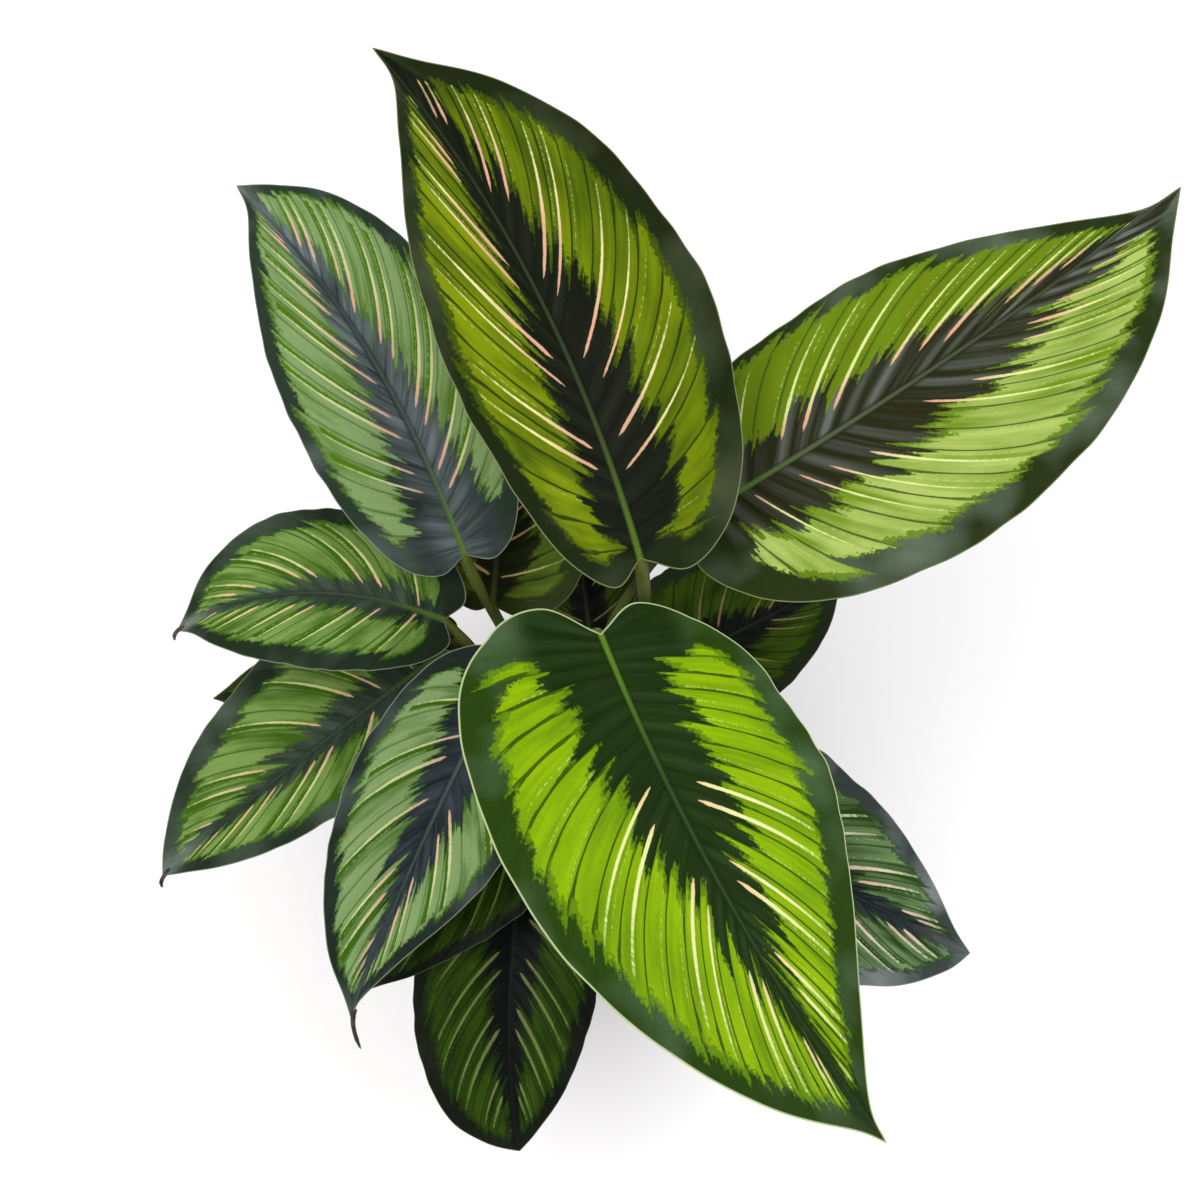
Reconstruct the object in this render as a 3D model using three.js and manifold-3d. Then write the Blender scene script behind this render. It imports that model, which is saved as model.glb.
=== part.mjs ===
// Potted calathea: fourteen broad striped leaves on slim stalks, rising from the soil of a
// plain round nursery pot. Millimetres, +Z up, the pot stands on z = 0 with its axis on Z.
// The plant is seen from the front along +Y, so -Y is the front, +Y the back, +X the right.
import * as THREE from "three";
import { mergeVertices } from "three/addons/utils/BufferGeometryUtils.js";
import Module from "manifold-3d";

const wasm = await Module();
wasm.setup();

// ---------------------------------------------------------------- driving sizes
const CLEAR = 0.35; // gap kept between neighbouring solids

const POT = {
  height: 90,
  rimRadius: 52.5, // outside of the rolled rim
  mouthRadius: 50.5, // outside of the wall just under the rim
  footRadius: 37, // outside of the wall at the foot
  wall: 1.5,
  floor: 2,
  rimHeight: 8,
  stepHeight: 16, // height of the stacking step above the foot
  stepDepth: 1.2,
  drains: 6,
  drainRadius: 4,
  drainCircle: 25,
  sides: 48,
};

const SOIL = {
  level: 82, // surface at the wall
  crown: 3, // how much higher the surface is in the middle
  rings: 4,
};

const STALK = {
  sides: 8,
  rings: 10,
  sunk: 12, // length that stands in the soil
  foot: 2.5, // radius where it leaves the soil
  neck: 1.55, // radius along most of its length
  pulvinus: 1.95, // radius of the swelling under the blade
  notch: 0.6, // least setback from the blade, in radii, that clears the notch's slanted sides
};

const BLADE = {
  edge: 0.85, // thickness at the margin
  rib: 2.4, // thickness at the midrib by the stalk
  ribTip: 1.0, // thickness at the midrib near the tip
  ribShare: 0.07, // share of a vein's length that the midrib's keel takes
  across: [0, 0.07, 0.3, 0.55, 0.8, 1], // stations from the midrib to the margin
  veinStart: 1.6, // crowding of the veins towards the base, at the midrib
  veinLean: 0.43, // how far a vein first runs forward
  veinSpread: 0.77, // how far a vein first runs outward
};

// Half outline of a blade: share of its length, share of its half width, from the notch at
// the stalk round the basal lobe to the drawn-out tip.
const OUTLINE = [
  [0, 0],
  [-0.03, 0.3],
  [0.025, 0.66],
  [0.16, 0.92],
  [0.36, 1],
  [0.58, 0.87],
  [0.78, 0.55],
  [0.92, 0.185],
  [1, 0],
];
const SHOULDER = [0, 0, 0.3, 0.8, 1, 0.8, 0.4, 0, 0]; // what a moved shoulder shifts
const SLIM_FROM = 5; // outline points from here on are drawn in by the slimness of the tip

// One row a leaf. base and tip are the ends of the midrib; right and left are half widths as
// seen from the stalk; bow bends the midrib sideways and rise arches it upward; roll leans the
// blade to its right; fold lifts both halves; slim and shoulder shape the two halves'
// outlines (right, left); lobe lengthens the basal lobes; wave, waves and phase ripple the
// margin; curl bends the tip down. root is where the stalk leaves the soil, thick scales
// the stalk, and pull1 and pull2 are the two inner points that its curve is drawn to. setback
// is the stalk's distance from the notch, where the stalk comes in from the side.
const LEAVES = [
  {
    name: "leaf_back",
    base: [12, 24, 198], tip: [-71, 180, 240], right: 47, left: 36,
    bow: 8, rise: 8, roll: 1, fold: 8, slim: [1, 1.6], shoulder: [0.04, 0.06], lobe: 1.1,
    wave: 1.4, waves: 3.2, phase: 0.1, curl: 1,
    root: [6, 9], thick: 1.1, pull1: [7, 9, 125], pull2: [18, 15, 165], rows: 15,
    setback: 0.75,
  },
  {
    name: "leaf_right_back",
    base: [30, 46, 180], tip: [185, 146, 214], right: 56, left: 39,
    bow: 4, rise: 2, roll: 2, fold: 8, slim: [0.92, 1.7], shoulder: [0.02, 0.03], lobe: 1.2,
    wave: 1.3, waves: 3, phase: 0.45, curl: -1,
    root: [-4, 15], thick: 1.05, pull1: [-6, 17, 115], pull2: [6, 35, 152], rows: 15,
    setback: 0.75,
  },
  {
    name: "leaf_front",
    base: [0, -3, 206], tip: [82, -139, 158], right: 60, left: 52,
    bow: 14, rise: 10, roll: -25, fold: 4, slim: [1.25, 1.65], shoulder: [-0.08, -0.02],
    lobe: 1.5, wave: 1.2, waves: 2.8, phase: 0.7, curl: 1,
    root: [1, 0], thick: 1.1, pull1: [1, 2, 125], pull2: [-5, 10, 178], rows: 15,
    setback: 1,
  },
  {
    name: "leaf_left_back",
    base: [-44, 41, 162], tip: [-124, 168, 186], right: 33, left: 34,
    bow: 7, rise: 9, roll: -1, fold: 8, slim: [0.7, 1.25], shoulder: [0.1, 0.02], lobe: 0.8,
    wave: 1.2, waves: 3, phase: 0.2, curl: 0,
    root: [-14, 9], thick: 1, pull1: [-17, 8, 112], pull2: [-35, 24, 140], rows: 14,
  },
  {
    name: "leaf_left",
    base: [-51, 23, 150], tip: [-141, 23, 142], right: 29, left: 27,
    bow: 7, rise: 11, roll: -2, fold: 8, slim: [1.06, 0.95], shoulder: [0.06, 0.05], lobe: 1.2,
    wave: 1.1, waves: 2.6, phase: 0.6, curl: 2,
    root: [-17, 1], thick: 0.9, pull1: [-20, 0, 112], pull2: [-36, 12, 140], rows: 12,
    setback: 0.6,
  },
  {
    name: "leaf_left_front",
    base: [-53, 18, 132], tip: [-146, -53, 112], right: 36, left: 26,
    bow: -2, rise: 9, roll: 1, fold: 8, slim: [0.87, 0.9], shoulder: [-0.04, 0], lobe: 1.2,
    wave: 1.2, waves: 2.8, phase: 0.3, curl: 2,
    root: [-22, -6], thick: 0.9, pull1: [-24, -8, 102], pull2: [-43, 22, 119], rows: 13,
    setback: 0.85,
  },
  {
    name: "leaf_left_low",
    base: [-51, 28, 117], tip: [-137, 12, 103], right: 18, left: 19,
    bow: -5, rise: 6, roll: 0, fold: 8, slim: [1.06, 1.06], shoulder: [0, 0], lobe: 1.1,
    wave: 0.8, waves: 2.4, phase: 0.8, curl: 1,
    root: [-23, 8], thick: 0.8, pull1: [-26, 9, 98], pull2: [-41, 23, 108], rows: 11,
    setback: 0.75,
  },
  {
    name: "leaf_front_left",
    base: [-30, 3, 156], tip: [-82, -101, 110], right: 30, left: 29,
    bow: 0, rise: 8, roll: 0, fold: 8, slim: [1.1, 1.8], shoulder: [0.03, -0.05], lobe: 1.2,
    wave: 1.1, waves: 2.8, phase: 0.05, curl: 7,
    root: [-10, -6], thick: 1, pull1: [-12, -7, 118], pull2: [-26, 9, 141], rows: 14,
    setback: 0.85,
  },
  {
    name: "leaf_front_left_low",
    base: [-8, -27, 124], tip: [-80, -89, 97], right: 25, left: 23,
    bow: 3, rise: 7, roll: 1, fold: 8, slim: [1, 0.95], shoulder: [0, 0], lobe: 1,
    wave: 0.9, waves: 2.4, phase: 0.5, curl: 2,
    root: [-3, -11], thick: 0.85, pull1: [-3, -11, 105], pull2: [-5, -19, 119], rows: 11,
    setback: 0.8,
  },
  {
    name: "leaf_front_low",
    base: [-24, -39, 105], tip: [-27, -138, 70], right: 32, left: 30,
    bow: 5, rise: 9, roll: -3, fold: 9, slim: [0.6, 0.85], shoulder: [0.09, 0], lobe: 1,
    wave: 1.1, waves: 2.6, phase: 0.15, curl: 2,
    root: [-13, -15], thick: 0.9, pull1: [-14, -17, 94], pull2: [-21, -31, 104], rows: 12,
  },
  {
    name: "leaf_right_front",
    base: [10, -26, 140], tip: [120, -79, 116], right: 35, left: 37,
    bow: 4, rise: 9, roll: -1, fold: 8, slim: [0.72, 1.15], shoulder: [0, -0.02], lobe: 1.1,
    wave: 1.2, waves: 3, phase: 0.9, curl: 1,
    root: [9, -8], thick: 1, pull1: [9, -9, 110], pull2: [6, -21, 131], rows: 13,
    setback: 0.8,
  },
  {
    name: "leaf_back_low",
    base: [-37, 37, 128], tip: [-38, 116, 148], right: 32, left: 20,
    bow: 3, rise: 6, roll: -2, fold: 8, slim: [1, 1], shoulder: [-0.03, 0], lobe: 0.8,
    wave: 0.9, waves: 2.5, phase: 0.35, curl: 1,
    root: [-10, 20], thick: 0.85, pull1: [-12, 21, 102], pull2: [-33, 27, 114], rows: 11,
  },
  {
    name: "leaf_right",
    base: [18, 18, 113], tip: [84, 49, 126], right: 28, left: 31,
    bow: 3, rise: 7, roll: 2, fold: 8, slim: [0.97, 1.12], shoulder: [-0.02, -0.06], lobe: 1,
    wave: 1, waves: 2.6, phase: 0.75, curl: 1,
    root: [13, 3], thick: 0.9, pull1: [14, 4, 98], pull2: [14, 13, 107], rows: 11,
    setback: 0.6,
  },
  {
    name: "leaf_back_inner",
    base: [-3, 30, 99], tip: [-12, 104, 119], right: 20, left: 21,
    bow: 0, rise: 5, roll: 0, fold: 8, slim: [1, 1], shoulder: [0, 0], lobe: 0.8,
    wave: 0.8, waves: 2.4, phase: 0.4, curl: 1,
    root: [0, 23], thick: 0.8, pull1: [0, 23, 90], pull2: [-2, 26, 95], rows: 11,
    setback: 0.1,
  },
];

const COLOURS = {
  pot: 0x2b2c2d,
  soil: 0x3a2a1d,
  blade: 0x4f7d1c,
  stalk: 0x6d7a34,
};

// ---------------------------------------------------------------- helpers
const vec = (a) => new THREE.Vector3(a[0], a[1], a[2]);

// A smooth curve through the given pairs, at share a of their number.
function throughPairs(pairs, a) {
  const last = pairs.length - 1;
  const at = Math.min(Math.max(a, 0), 1) * last;
  const i = Math.min(Math.floor(at), last - 1);
  const f = at - i;
  const before = i > 0 ? pairs[i - 1] : pairs[0].map((v, k) => 2 * v - pairs[1][k]);
  const after = i + 2 <= last ? pairs[i + 2] : pairs[last].map((v, k) => 2 * v - pairs[last - 1][k]);
  return pairs[i].map((p1, k) => {
    const p0 = before[k];
    const p2 = pairs[i + 1][k];
    const p3 = after[k];
    const slope = (p2 - p0) / 2;
    const square = (2 * p0 - 5 * p1 + 4 * p2 - p3) / 2;
    const cube = (3 * p1 - p0 - 3 * p2 + p3) / 2;
    return p1 + f * (slope + f * (square + f * cube));
  });
}

// The fixed frame of a blade: its axis from stalk to tip, its upward normal and its right.
function bladeFrame(leaf) {
  const base = vec(leaf.base);
  const axis = vec(leaf.tip).sub(base);
  const length = axis.length();
  axis.divideScalar(length);
  const up = new THREE.Vector3(0, 0, 1);
  const level = up.addScaledVector(axis, -up.dot(axis)).normalize();
  const side = new THREE.Vector3().crossVectors(axis, level);
  const lean = THREE.MathUtils.degToRad(leaf.roll);
  const normal = level.multiplyScalar(Math.cos(lean)).addScaledVector(side, Math.sin(lean));
  const right = new THREE.Vector3().crossVectors(axis, normal);
  return { base, axis, length, normal, right };
}

// A point of the midrib at share t of the blade's length; t may lie a little outside 0 to 1.
function midribPoint(leaf, frame, t) {
  const arch = 4 * t * (1 - t);
  const drop = leaf.curl * Math.max(0, (t - 0.8) / 0.2) ** 2;
  return frame.base
    .clone()
    .addScaledVector(frame.axis, frame.length * t)
    .addScaledVector(frame.normal, leaf.rise * arch - drop)
    .addScaledVector(frame.right, leaf.bow * arch);
}

// The midrib's direction, the blade's right and its normal at share t.
function midribFrame(leaf, frame, t) {
  const step = 1e-3;
  const along = midribPoint(leaf, frame, t + step)
    .sub(midribPoint(leaf, frame, t - step))
    .normalize();
  const right = new THREE.Vector3().crossVectors(along, frame.normal).normalize();
  const normal = new THREE.Vector3().crossVectors(right, along);
  return { along, right, normal };
}

// Flat place of a point on the vein that leaves the midrib at u, at share s of the vein:
// share of the blade's length and share of its half width.
function veinPoint(leaf, u, s, side) {
  const k = side > 0 ? 0 : 1;
  const outline = OUTLINE.map(([x, y], i) => [
    x + leaf.shoulder[k] * SHOULDER[i],
    i >= SLIM_FROM && y > 0 ? y ** leaf.slim[k] : y,
  ]);
  const start = u ** BLADE.veinStart;
  const end = throughPairs(outline, 1 - (1 - u) ** BLADE.veinStart);
  if (end[0] < 0) end[0] *= leaf.lobe;
  const midX = start + BLADE.veinLean * (end[0] - start);
  const midY = BLADE.veinSpread * end[1];
  const a = (1 - s) * (1 - s);
  const b = 2 * s * (1 - s);
  const c = s * s;
  return [a * start + b * midX + c * end[0], b * midY + c * end[1]];
}

// The blade's upper surface at vein u and share s, and the normal that its thickness follows.
function bladePoint(leaf, frame, u, s, side) {
  const [x, q] = veinPoint(leaf, u, s, side);
  const y = q * (side > 0 ? leaf.right : leaf.left);
  const fold = THREE.MathUtils.degToRad(leaf.fold);
  const turn = leaf.waves * x + leaf.phase + (side > 0 ? 0 : 0.37);
  const lift = y * Math.sin(fold) + 8 * q * (1 - q) + leaf.wave * Math.sin(2 * Math.PI * turn) * q * q;
  const { right, normal } = midribFrame(leaf, frame, x);
  const point = midribPoint(leaf, frame, x)
    .addScaledVector(right, side * y * Math.cos(fold))
    .addScaledVector(normal, lift);
  return { point, normal, x };
}

// A closed geometry from points and triangles.
function closedGeometry(points, triangles) {
  const geometry = new THREE.BufferGeometry();
  geometry.setAttribute("position", new THREE.Float32BufferAttribute(points, 3));
  geometry.setIndex(triangles);
  geometry.computeVertexNormals();
  return geometry;
}

// A shape with its seams joined and the empty triangles at its poles dropped.
function joined(shape) {
  const bare = shape.clone();
  bare.deleteAttribute("normal");
  bare.deleteAttribute("uv");
  const merged = mergeVertices(bare, 1e-4);
  const corners = merged.index.array;
  const kept = [];
  for (let i = 0; i < corners.length; i += 3) {
    const [a, b, c] = corners.slice(i, i + 3);
    if (a !== b && b !== c && c !== a) kept.push(a, b, c);
  }
  merged.setIndex(kept);
  merged.computeVertexNormals();
  return merged;
}

function namedMesh(name, geometry, colour, roughness) {
  const material = new THREE.MeshStandardMaterial({ color: colour, roughness, metalness: 0 });
  const mesh = new THREE.Mesh(geometry, material);
  mesh.name = name;
  return mesh;
}

// A solid from a closed geometry with shared vertices.
function solidOf(geometry) {
  return new wasm.Manifold(
    new wasm.Mesh({
      numProp: 3,
      vertProperties: new Float32Array(geometry.attributes.position.array),
      triVerts: new Uint32Array(geometry.index.array),
    }),
  );
}

// A geometry from a solid.
function geometryOf(solid) {
  const mesh = solid.getMesh();
  const points = [];
  for (let i = 0; i < mesh.numVert; i += 1) {
    points.push(...mesh.vertProperties.slice(i * mesh.numProp, i * mesh.numProp + 3));
  }
  return closedGeometry(points, Array.from(mesh.triVerts));
}

// ---------------------------------------------------------------- leaf blade
// Both faces carry the same grid of veins and stations, joined along the margin.
function bladeGeometry(leaf) {
  const frame = bladeFrame(leaf);
  const rows = leaf.rows;
  const stations = BLADE.across;
  const lastStation = stations.length - 1;
  const points = [];
  const index = new Map();

  function vertex(side, i, j, face) {
    const pole = i === 0 || i === rows;
    const shared = pole || j === 0;
    const key = `${shared ? 0 : side}/${i}/${pole ? 0 : j}/${face}`;
    if (!index.has(key)) {
      const { point, normal, x } = bladePoint(leaf, frame, i / rows, pole ? 0 : stations[j], side);
      const share = pole ? 0 : stations[j];
      const keel = Math.max(0, 1 - share / BLADE.ribShare);
      const rib = THREE.MathUtils.lerp(BLADE.rib, BLADE.ribTip, Math.min(Math.max(x, 0), 1));
      const thick = THREE.MathUtils.lerp(BLADE.edge, rib, keel);
      if (face === "under") point.addScaledVector(normal, -thick);
      index.set(key, points.length / 3);
      points.push(point.x, point.y, point.z);
    }
    return index.get(key);
  }

  const triangles = [];
  function add(a, b, c, flip) {
    if (a === b || b === c || c === a) return;
    triangles.push(...(flip ? [a, c, b] : [a, b, c]));
  }

  for (const side of [1, -1]) {
    for (let i = 0; i < rows; i += 1) {
      for (let j = 0; j < lastStation; j += 1) {
        for (const face of ["over", "under"]) {
          const a = vertex(side, i, j, face);
          const b = vertex(side, i + 1, j, face);
          const c = vertex(side, i + 1, j + 1, face);
          const d = vertex(side, i, j + 1, face);
          const flip = (side > 0) === (face === "over");
          add(a, b, c, flip);
          add(a, c, d, flip);
        }
      }
      const near = vertex(side, i, lastStation, "over");
      const far = vertex(side, i + 1, lastStation, "over");
      const nearUnder = vertex(side, i, lastStation, "under");
      const farUnder = vertex(side, i + 1, lastStation, "under");
      add(near, nearUnder, farUnder, side < 0);
      add(near, farUnder, far, side < 0);
    }
  }
  return closedGeometry(points, triangles);
}

// ---------------------------------------------------------------- leaf stalk
// The stalk's curve, from its foot in the soil to just under the base of its blade.
function stalkCurve(leaf) {
  const frame = bladeFrame(leaf);
  const start = midribFrame(leaf, frame, 0);
  const radius = STALK.pulvinus * leaf.thick;
  const handle = vec(leaf.pull2);
  const under = frame.base.clone().addScaledVector(start.normal, -BLADE.rib / 2);
  const arrive = under.clone().sub(handle).normalize();
  const slant = Math.sqrt(Math.max(0, 1 - arrive.dot(start.along) ** 2));
  const back = radius * Math.max(slant, STALK.notch) + (leaf.setback ?? CLEAR);
  const end = under.clone().addScaledVector(start.along, -back);
  const foot = new THREE.Vector3(leaf.root[0], leaf.root[1], SOIL.level - STALK.sunk);
  return new THREE.CubicBezierCurve3(foot, vec(leaf.pull1), handle, end);
}

// Radius of the stalk at share t of its length, from the foot to the swelling at the top.
function stalkRadius(leaf, t) {
  const taper = THREE.MathUtils.smoothstep(t, 0.05, 0.55);
  const swell = THREE.MathUtils.smoothstep(t, 0.8, 0.92);
  const slim = THREE.MathUtils.lerp(STALK.foot, STALK.neck, taper);
  return leaf.thick * THREE.MathUtils.lerp(slim, STALK.pulvinus, swell);
}

// A cylinder bent along a curve, with flat ends; grow widens it and lengthens its foot.
function bentGeometry(curve, radiusAt, grow) {
  const { rings, sides } = STALK;
  const shape = joined(new THREE.CylinderGeometry(1, 1, 1, sides, rings));
  const frames = [];
  let across = new THREE.Vector3(1, 0, 0);
  for (let i = 0; i <= rings; i += 1) {
    const t = i / rings;
    const centre = curve.getPointAt(t);
    const along = curve.getTangentAt(t);
    if (i === 0) centre.addScaledVector(along, -grow);
    across = across.clone().addScaledVector(along, -across.dot(along)).normalize();
    const other = new THREE.Vector3().crossVectors(along, across);
    frames.push({ centre, across, other, radius: radiusAt(t) + grow });
  }
  const place = shape.attributes.position;
  for (let i = 0; i < place.count; i += 1) {
    const { centre, across: first, other, radius } = frames[Math.round((place.getY(i) + 0.5) * rings)];
    const p = centre
      .clone()
      .addScaledVector(other, radius * place.getX(i))
      .addScaledVector(first, radius * place.getZ(i));
    place.setXYZ(i, p.x, p.y, p.z);
  }
  shape.computeVertexNormals();
  return shape;
}

// ---------------------------------------------------------------- pot and soil
// A solid turned about Z from a profile of [radius, height] pairs that starts and ends on
// the axis and runs anticlockwise when radius runs right and height runs up.
function turned(profile, sides) {
  const outline = profile.map(([r, z]) => new THREE.Vector2(r, z));
  return joined(new THREE.LatheGeometry(outline, sides).rotateX(Math.PI / 2));
}

// Outside radius of the pot's wall at a height, under the rim.
function wallRadius(z) {
  const share = z / (POT.height - POT.rimHeight);
  const step = z < POT.stepHeight ? POT.stepDepth : 0;
  return THREE.MathUtils.lerp(POT.footRadius, POT.mouthRadius, share) - step;
}

function potGeometry() {
  const { wall, floor, height, rimHeight, rimRadius, stepHeight, drains } = POT;
  const under = height - rimHeight;
  const mouthInside = wallRadius(under) - wall;
  const profile = [
    [0, 0],
    [wallRadius(0) - 1.5, 0],
    [wallRadius(1.5), 1.5],
    [wallRadius(stepHeight - 0.01), stepHeight],
    [wallRadius(stepHeight + 1.2), stepHeight + 1.2],
    [wallRadius(under), under],
    [rimRadius - 0.6, under],
    [rimRadius, under + 0.8],
    [rimRadius, height - 1.2],
    [rimRadius - 1, height - 0.2],
    [rimRadius - 1.8, height],
    [mouthInside + 0.5, height - 0.4],
    [mouthInside, height - 1.6],
    [mouthInside, under],
    [wallRadius(stepHeight + 1.2) - wall, stepHeight + 1.2],
    [wallRadius(stepHeight - 0.01) - wall, stepHeight - 0.6],
    [wallRadius(floor) - wall - 1, floor + 1],
    [wallRadius(floor) - wall - 2.4, floor],
    [0, floor],
  ];
  let solid = solidOf(turned(profile, POT.sides));
  for (let k = 0; k < drains; k += 1) {
    const turn = (2 * Math.PI * k) / drains;
    const bore = new THREE.CylinderGeometry(POT.drainRadius, POT.drainRadius, floor + 4, 12)
      .rotateX(Math.PI / 2)
      .translate(POT.drainCircle * Math.cos(turn), POT.drainCircle * Math.sin(turn), floor / 2);
    solid = solid.subtract(solidOf(joined(bore)));
  }
  return geometryOf(solid);
}

function soilGeometry(holes) {
  const { wall, floor, height, rimHeight, stepHeight } = POT;
  const under = height - rimHeight;
  const inside = (z) => wallRadius(z) - wall - CLEAR;
  const surface = [];
  for (let i = 0; i < SOIL.rings; i += 1) {
    const share = 1 - i / SOIL.rings;
    const rise = SOIL.crown * (1 - share * share);
    surface.push([(inside(under) - 0.3) * share, SOIL.level + rise]);
  }
  const profile = [
    [0, floor + CLEAR],
    [inside(floor) - 2.4, floor + CLEAR],
    [inside(floor) - 1, floor + CLEAR + 1],
    [inside(stepHeight - 0.01), stepHeight - 0.6],
    [inside(stepHeight + 1.2), stepHeight + 1.2],
    [inside(SOIL.level - 1), SOIL.level - 1],
    ...surface,
    [0, SOIL.level + SOIL.crown],
  ];
  let solid = solidOf(turned(profile, POT.sides));
  for (const hole of holes) {
    solid = solid.subtract(solidOf(hole));
  }
  return geometryOf(solid);
}

// ---------------------------------------------------------------- the plant in its pot
const plant = new THREE.Group();
plant.name = "potted_calathea";

const holes = [];
for (const leaf of LEAVES) {
  const curve = stalkCurve(leaf);
  const radiusAt = (t) => stalkRadius(leaf, t);
  const blade = bladeGeometry(leaf);
  const stalk = bentGeometry(curve, radiusAt, 0);
  holes.push(bentGeometry(curve, radiusAt, CLEAR));
  plant.add(namedMesh(`${leaf.name}_blade`, blade, COLOURS.blade, 0.4));
  plant.add(namedMesh(`${leaf.name}_stalk`, stalk, COLOURS.stalk, 0.5));
}
plant.add(namedMesh("soil", soilGeometry(holes), COLOURS.soil, 0.95));
plant.add(namedMesh("pot", potGeometry(), COLOURS.pot, 0.5));

export default plant;
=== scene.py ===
"""Dresses the potted calathea: fourteen striped leaves on slim stalks, the potting mix and
the nursery pot that they grow from.

Driving sizes are in millimetres, as on a drawing, and every mesh is made in metres in the
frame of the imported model: +Z up, -Y the front, +X the right, the pot standing on z = 0.
A blade's surface is drawn by its veins. Every point of a half blade has a vein number,
counted from the stalk to the tip, and a share of that vein from the midrib to the margin;
shape, pleats, stripes and the feathered dark middle all follow those two numbers.
"""

import logging
import math
from collections.abc import Callable, Mapping, Sequence
from dataclasses import dataclass, field, replace
from enum import Enum

import bmesh
import bpy
import numpy as np
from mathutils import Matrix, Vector


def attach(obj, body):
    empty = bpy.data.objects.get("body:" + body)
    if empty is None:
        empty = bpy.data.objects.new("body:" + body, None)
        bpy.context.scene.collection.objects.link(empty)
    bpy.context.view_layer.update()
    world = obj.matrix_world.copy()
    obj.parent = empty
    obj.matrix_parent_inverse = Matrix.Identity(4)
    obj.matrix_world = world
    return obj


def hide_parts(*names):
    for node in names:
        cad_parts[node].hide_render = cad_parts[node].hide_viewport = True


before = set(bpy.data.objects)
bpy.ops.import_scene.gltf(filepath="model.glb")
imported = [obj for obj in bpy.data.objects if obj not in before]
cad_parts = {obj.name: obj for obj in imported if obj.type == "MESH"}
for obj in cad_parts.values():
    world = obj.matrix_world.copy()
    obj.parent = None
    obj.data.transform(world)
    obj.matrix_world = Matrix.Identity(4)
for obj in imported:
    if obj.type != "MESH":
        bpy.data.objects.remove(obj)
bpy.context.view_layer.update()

logging.basicConfig(level=logging.INFO, format="%(name)s: %(message)s")
log = logging.getLogger("calathea")

MM = 0.001
BODY = "root"
VEIN_MAP = "Vein"  # (vein number as a share of all, 0.5 + half the signed share of the vein)
BAKE_MAP = "OFBake"
PITCH, RIB, RIM, ALONG = "vein_pitch", "rib_distance", "rim_distance", "along"
SHINE = "Specular IOR Level"

Tone = tuple[int, int, int]
Triple = tuple[float, float, float]
Socket = bpy.types.NodeSocket


# ---------------------------------------------------------------- numbers and node trees
def linear(tone: Tone) -> tuple[float, float, float, float]:
    """Turns a display colour from 0 to 255 into an opaque scene-linear colour.

    Args:
        tone: Red, green and blue as a screen shows them.

    Returns:
        The linear colour with its alpha.
    """
    parts = [c / 255 for c in tone]
    red, green, blue = (
        c / 12.92 if c <= 0.04045 else ((c + 0.055) / 1.055) ** 2.4 for c in parts
    )
    return red, green, blue, 1.0


def as_input(colour: Tone | Socket) -> object:
    """A display colour as a socket takes it; a socket stays as it is."""
    return linear(colour) if isinstance(colour, tuple) else colour


def _operator(operation: str, reflected: bool = False) -> Callable[..., "Num"]:
    """Makes a method that adds one Math node.

    Args:
        operation: What the node works out.
        reflected: Whether the number itself comes last.

    Returns:
        The method, which takes the other terms.
    """

    def method(self: "Num", *others: "Num | float") -> "Num":
        """Works the operation out on this number and the others."""
        terms = (*others, self) if reflected else (self, *others)
        sockets = dict(enumerate(terms))
        return self.tree.number("ShaderNodeMath", {"operation": operation}, sockets)

    return method


class Num:
    """A number that changes over a piece; Python's operators on it add Math nodes."""

    __add__ = __radd__ = _operator("ADD")
    __mul__ = __rmul__ = _operator("MULTIPLY")
    __sub__, __rsub__ = _operator("SUBTRACT"), _operator("SUBTRACT", reflected=True)
    __truediv__, __rtruediv__ = _operator("DIVIDE"), _operator("DIVIDE", reflected=True)
    __pow__, __abs__ = _operator("POWER"), _operator("ABSOLUTE")
    __gt__, __lt__ = _operator("GREATER_THAN"), _operator("LESS_THAN")
    least, most, floor = _operator("MINIMUM"), _operator("MAXIMUM"), _operator("FLOOR")

    def __init__(self, tree: "NodeTree", socket: Socket) -> None:
        """Wraps a socket of a tree."""
        self.tree, self.socket = tree, socket

    def share(self) -> "Num":
        """The number kept between nought and one."""
        return self.most(0).least(1)

    def rise(
        self,
        low: "Num | float",
        high: "Num | float",
        first: "Num | float" = 0.0,
        last: "Num | float" = 1.0,
    ) -> "Num":
        """Goes smoothly from one value to another while this number grows.

        Args:
            low: Where it leaves the first value.
            high: Where it reaches the last.
            first: The value up to low.
            last: The value from high on.

        Returns:
            The smoothed number.
        """
        return self.tree.number(
            "ShaderNodeMapRange",
            {"interpolation_type": "SMOOTHSTEP"},
            {"Value": self, "From Min": low, "From Max": high, "To Min": first, "To Max": last},
        )


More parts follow.
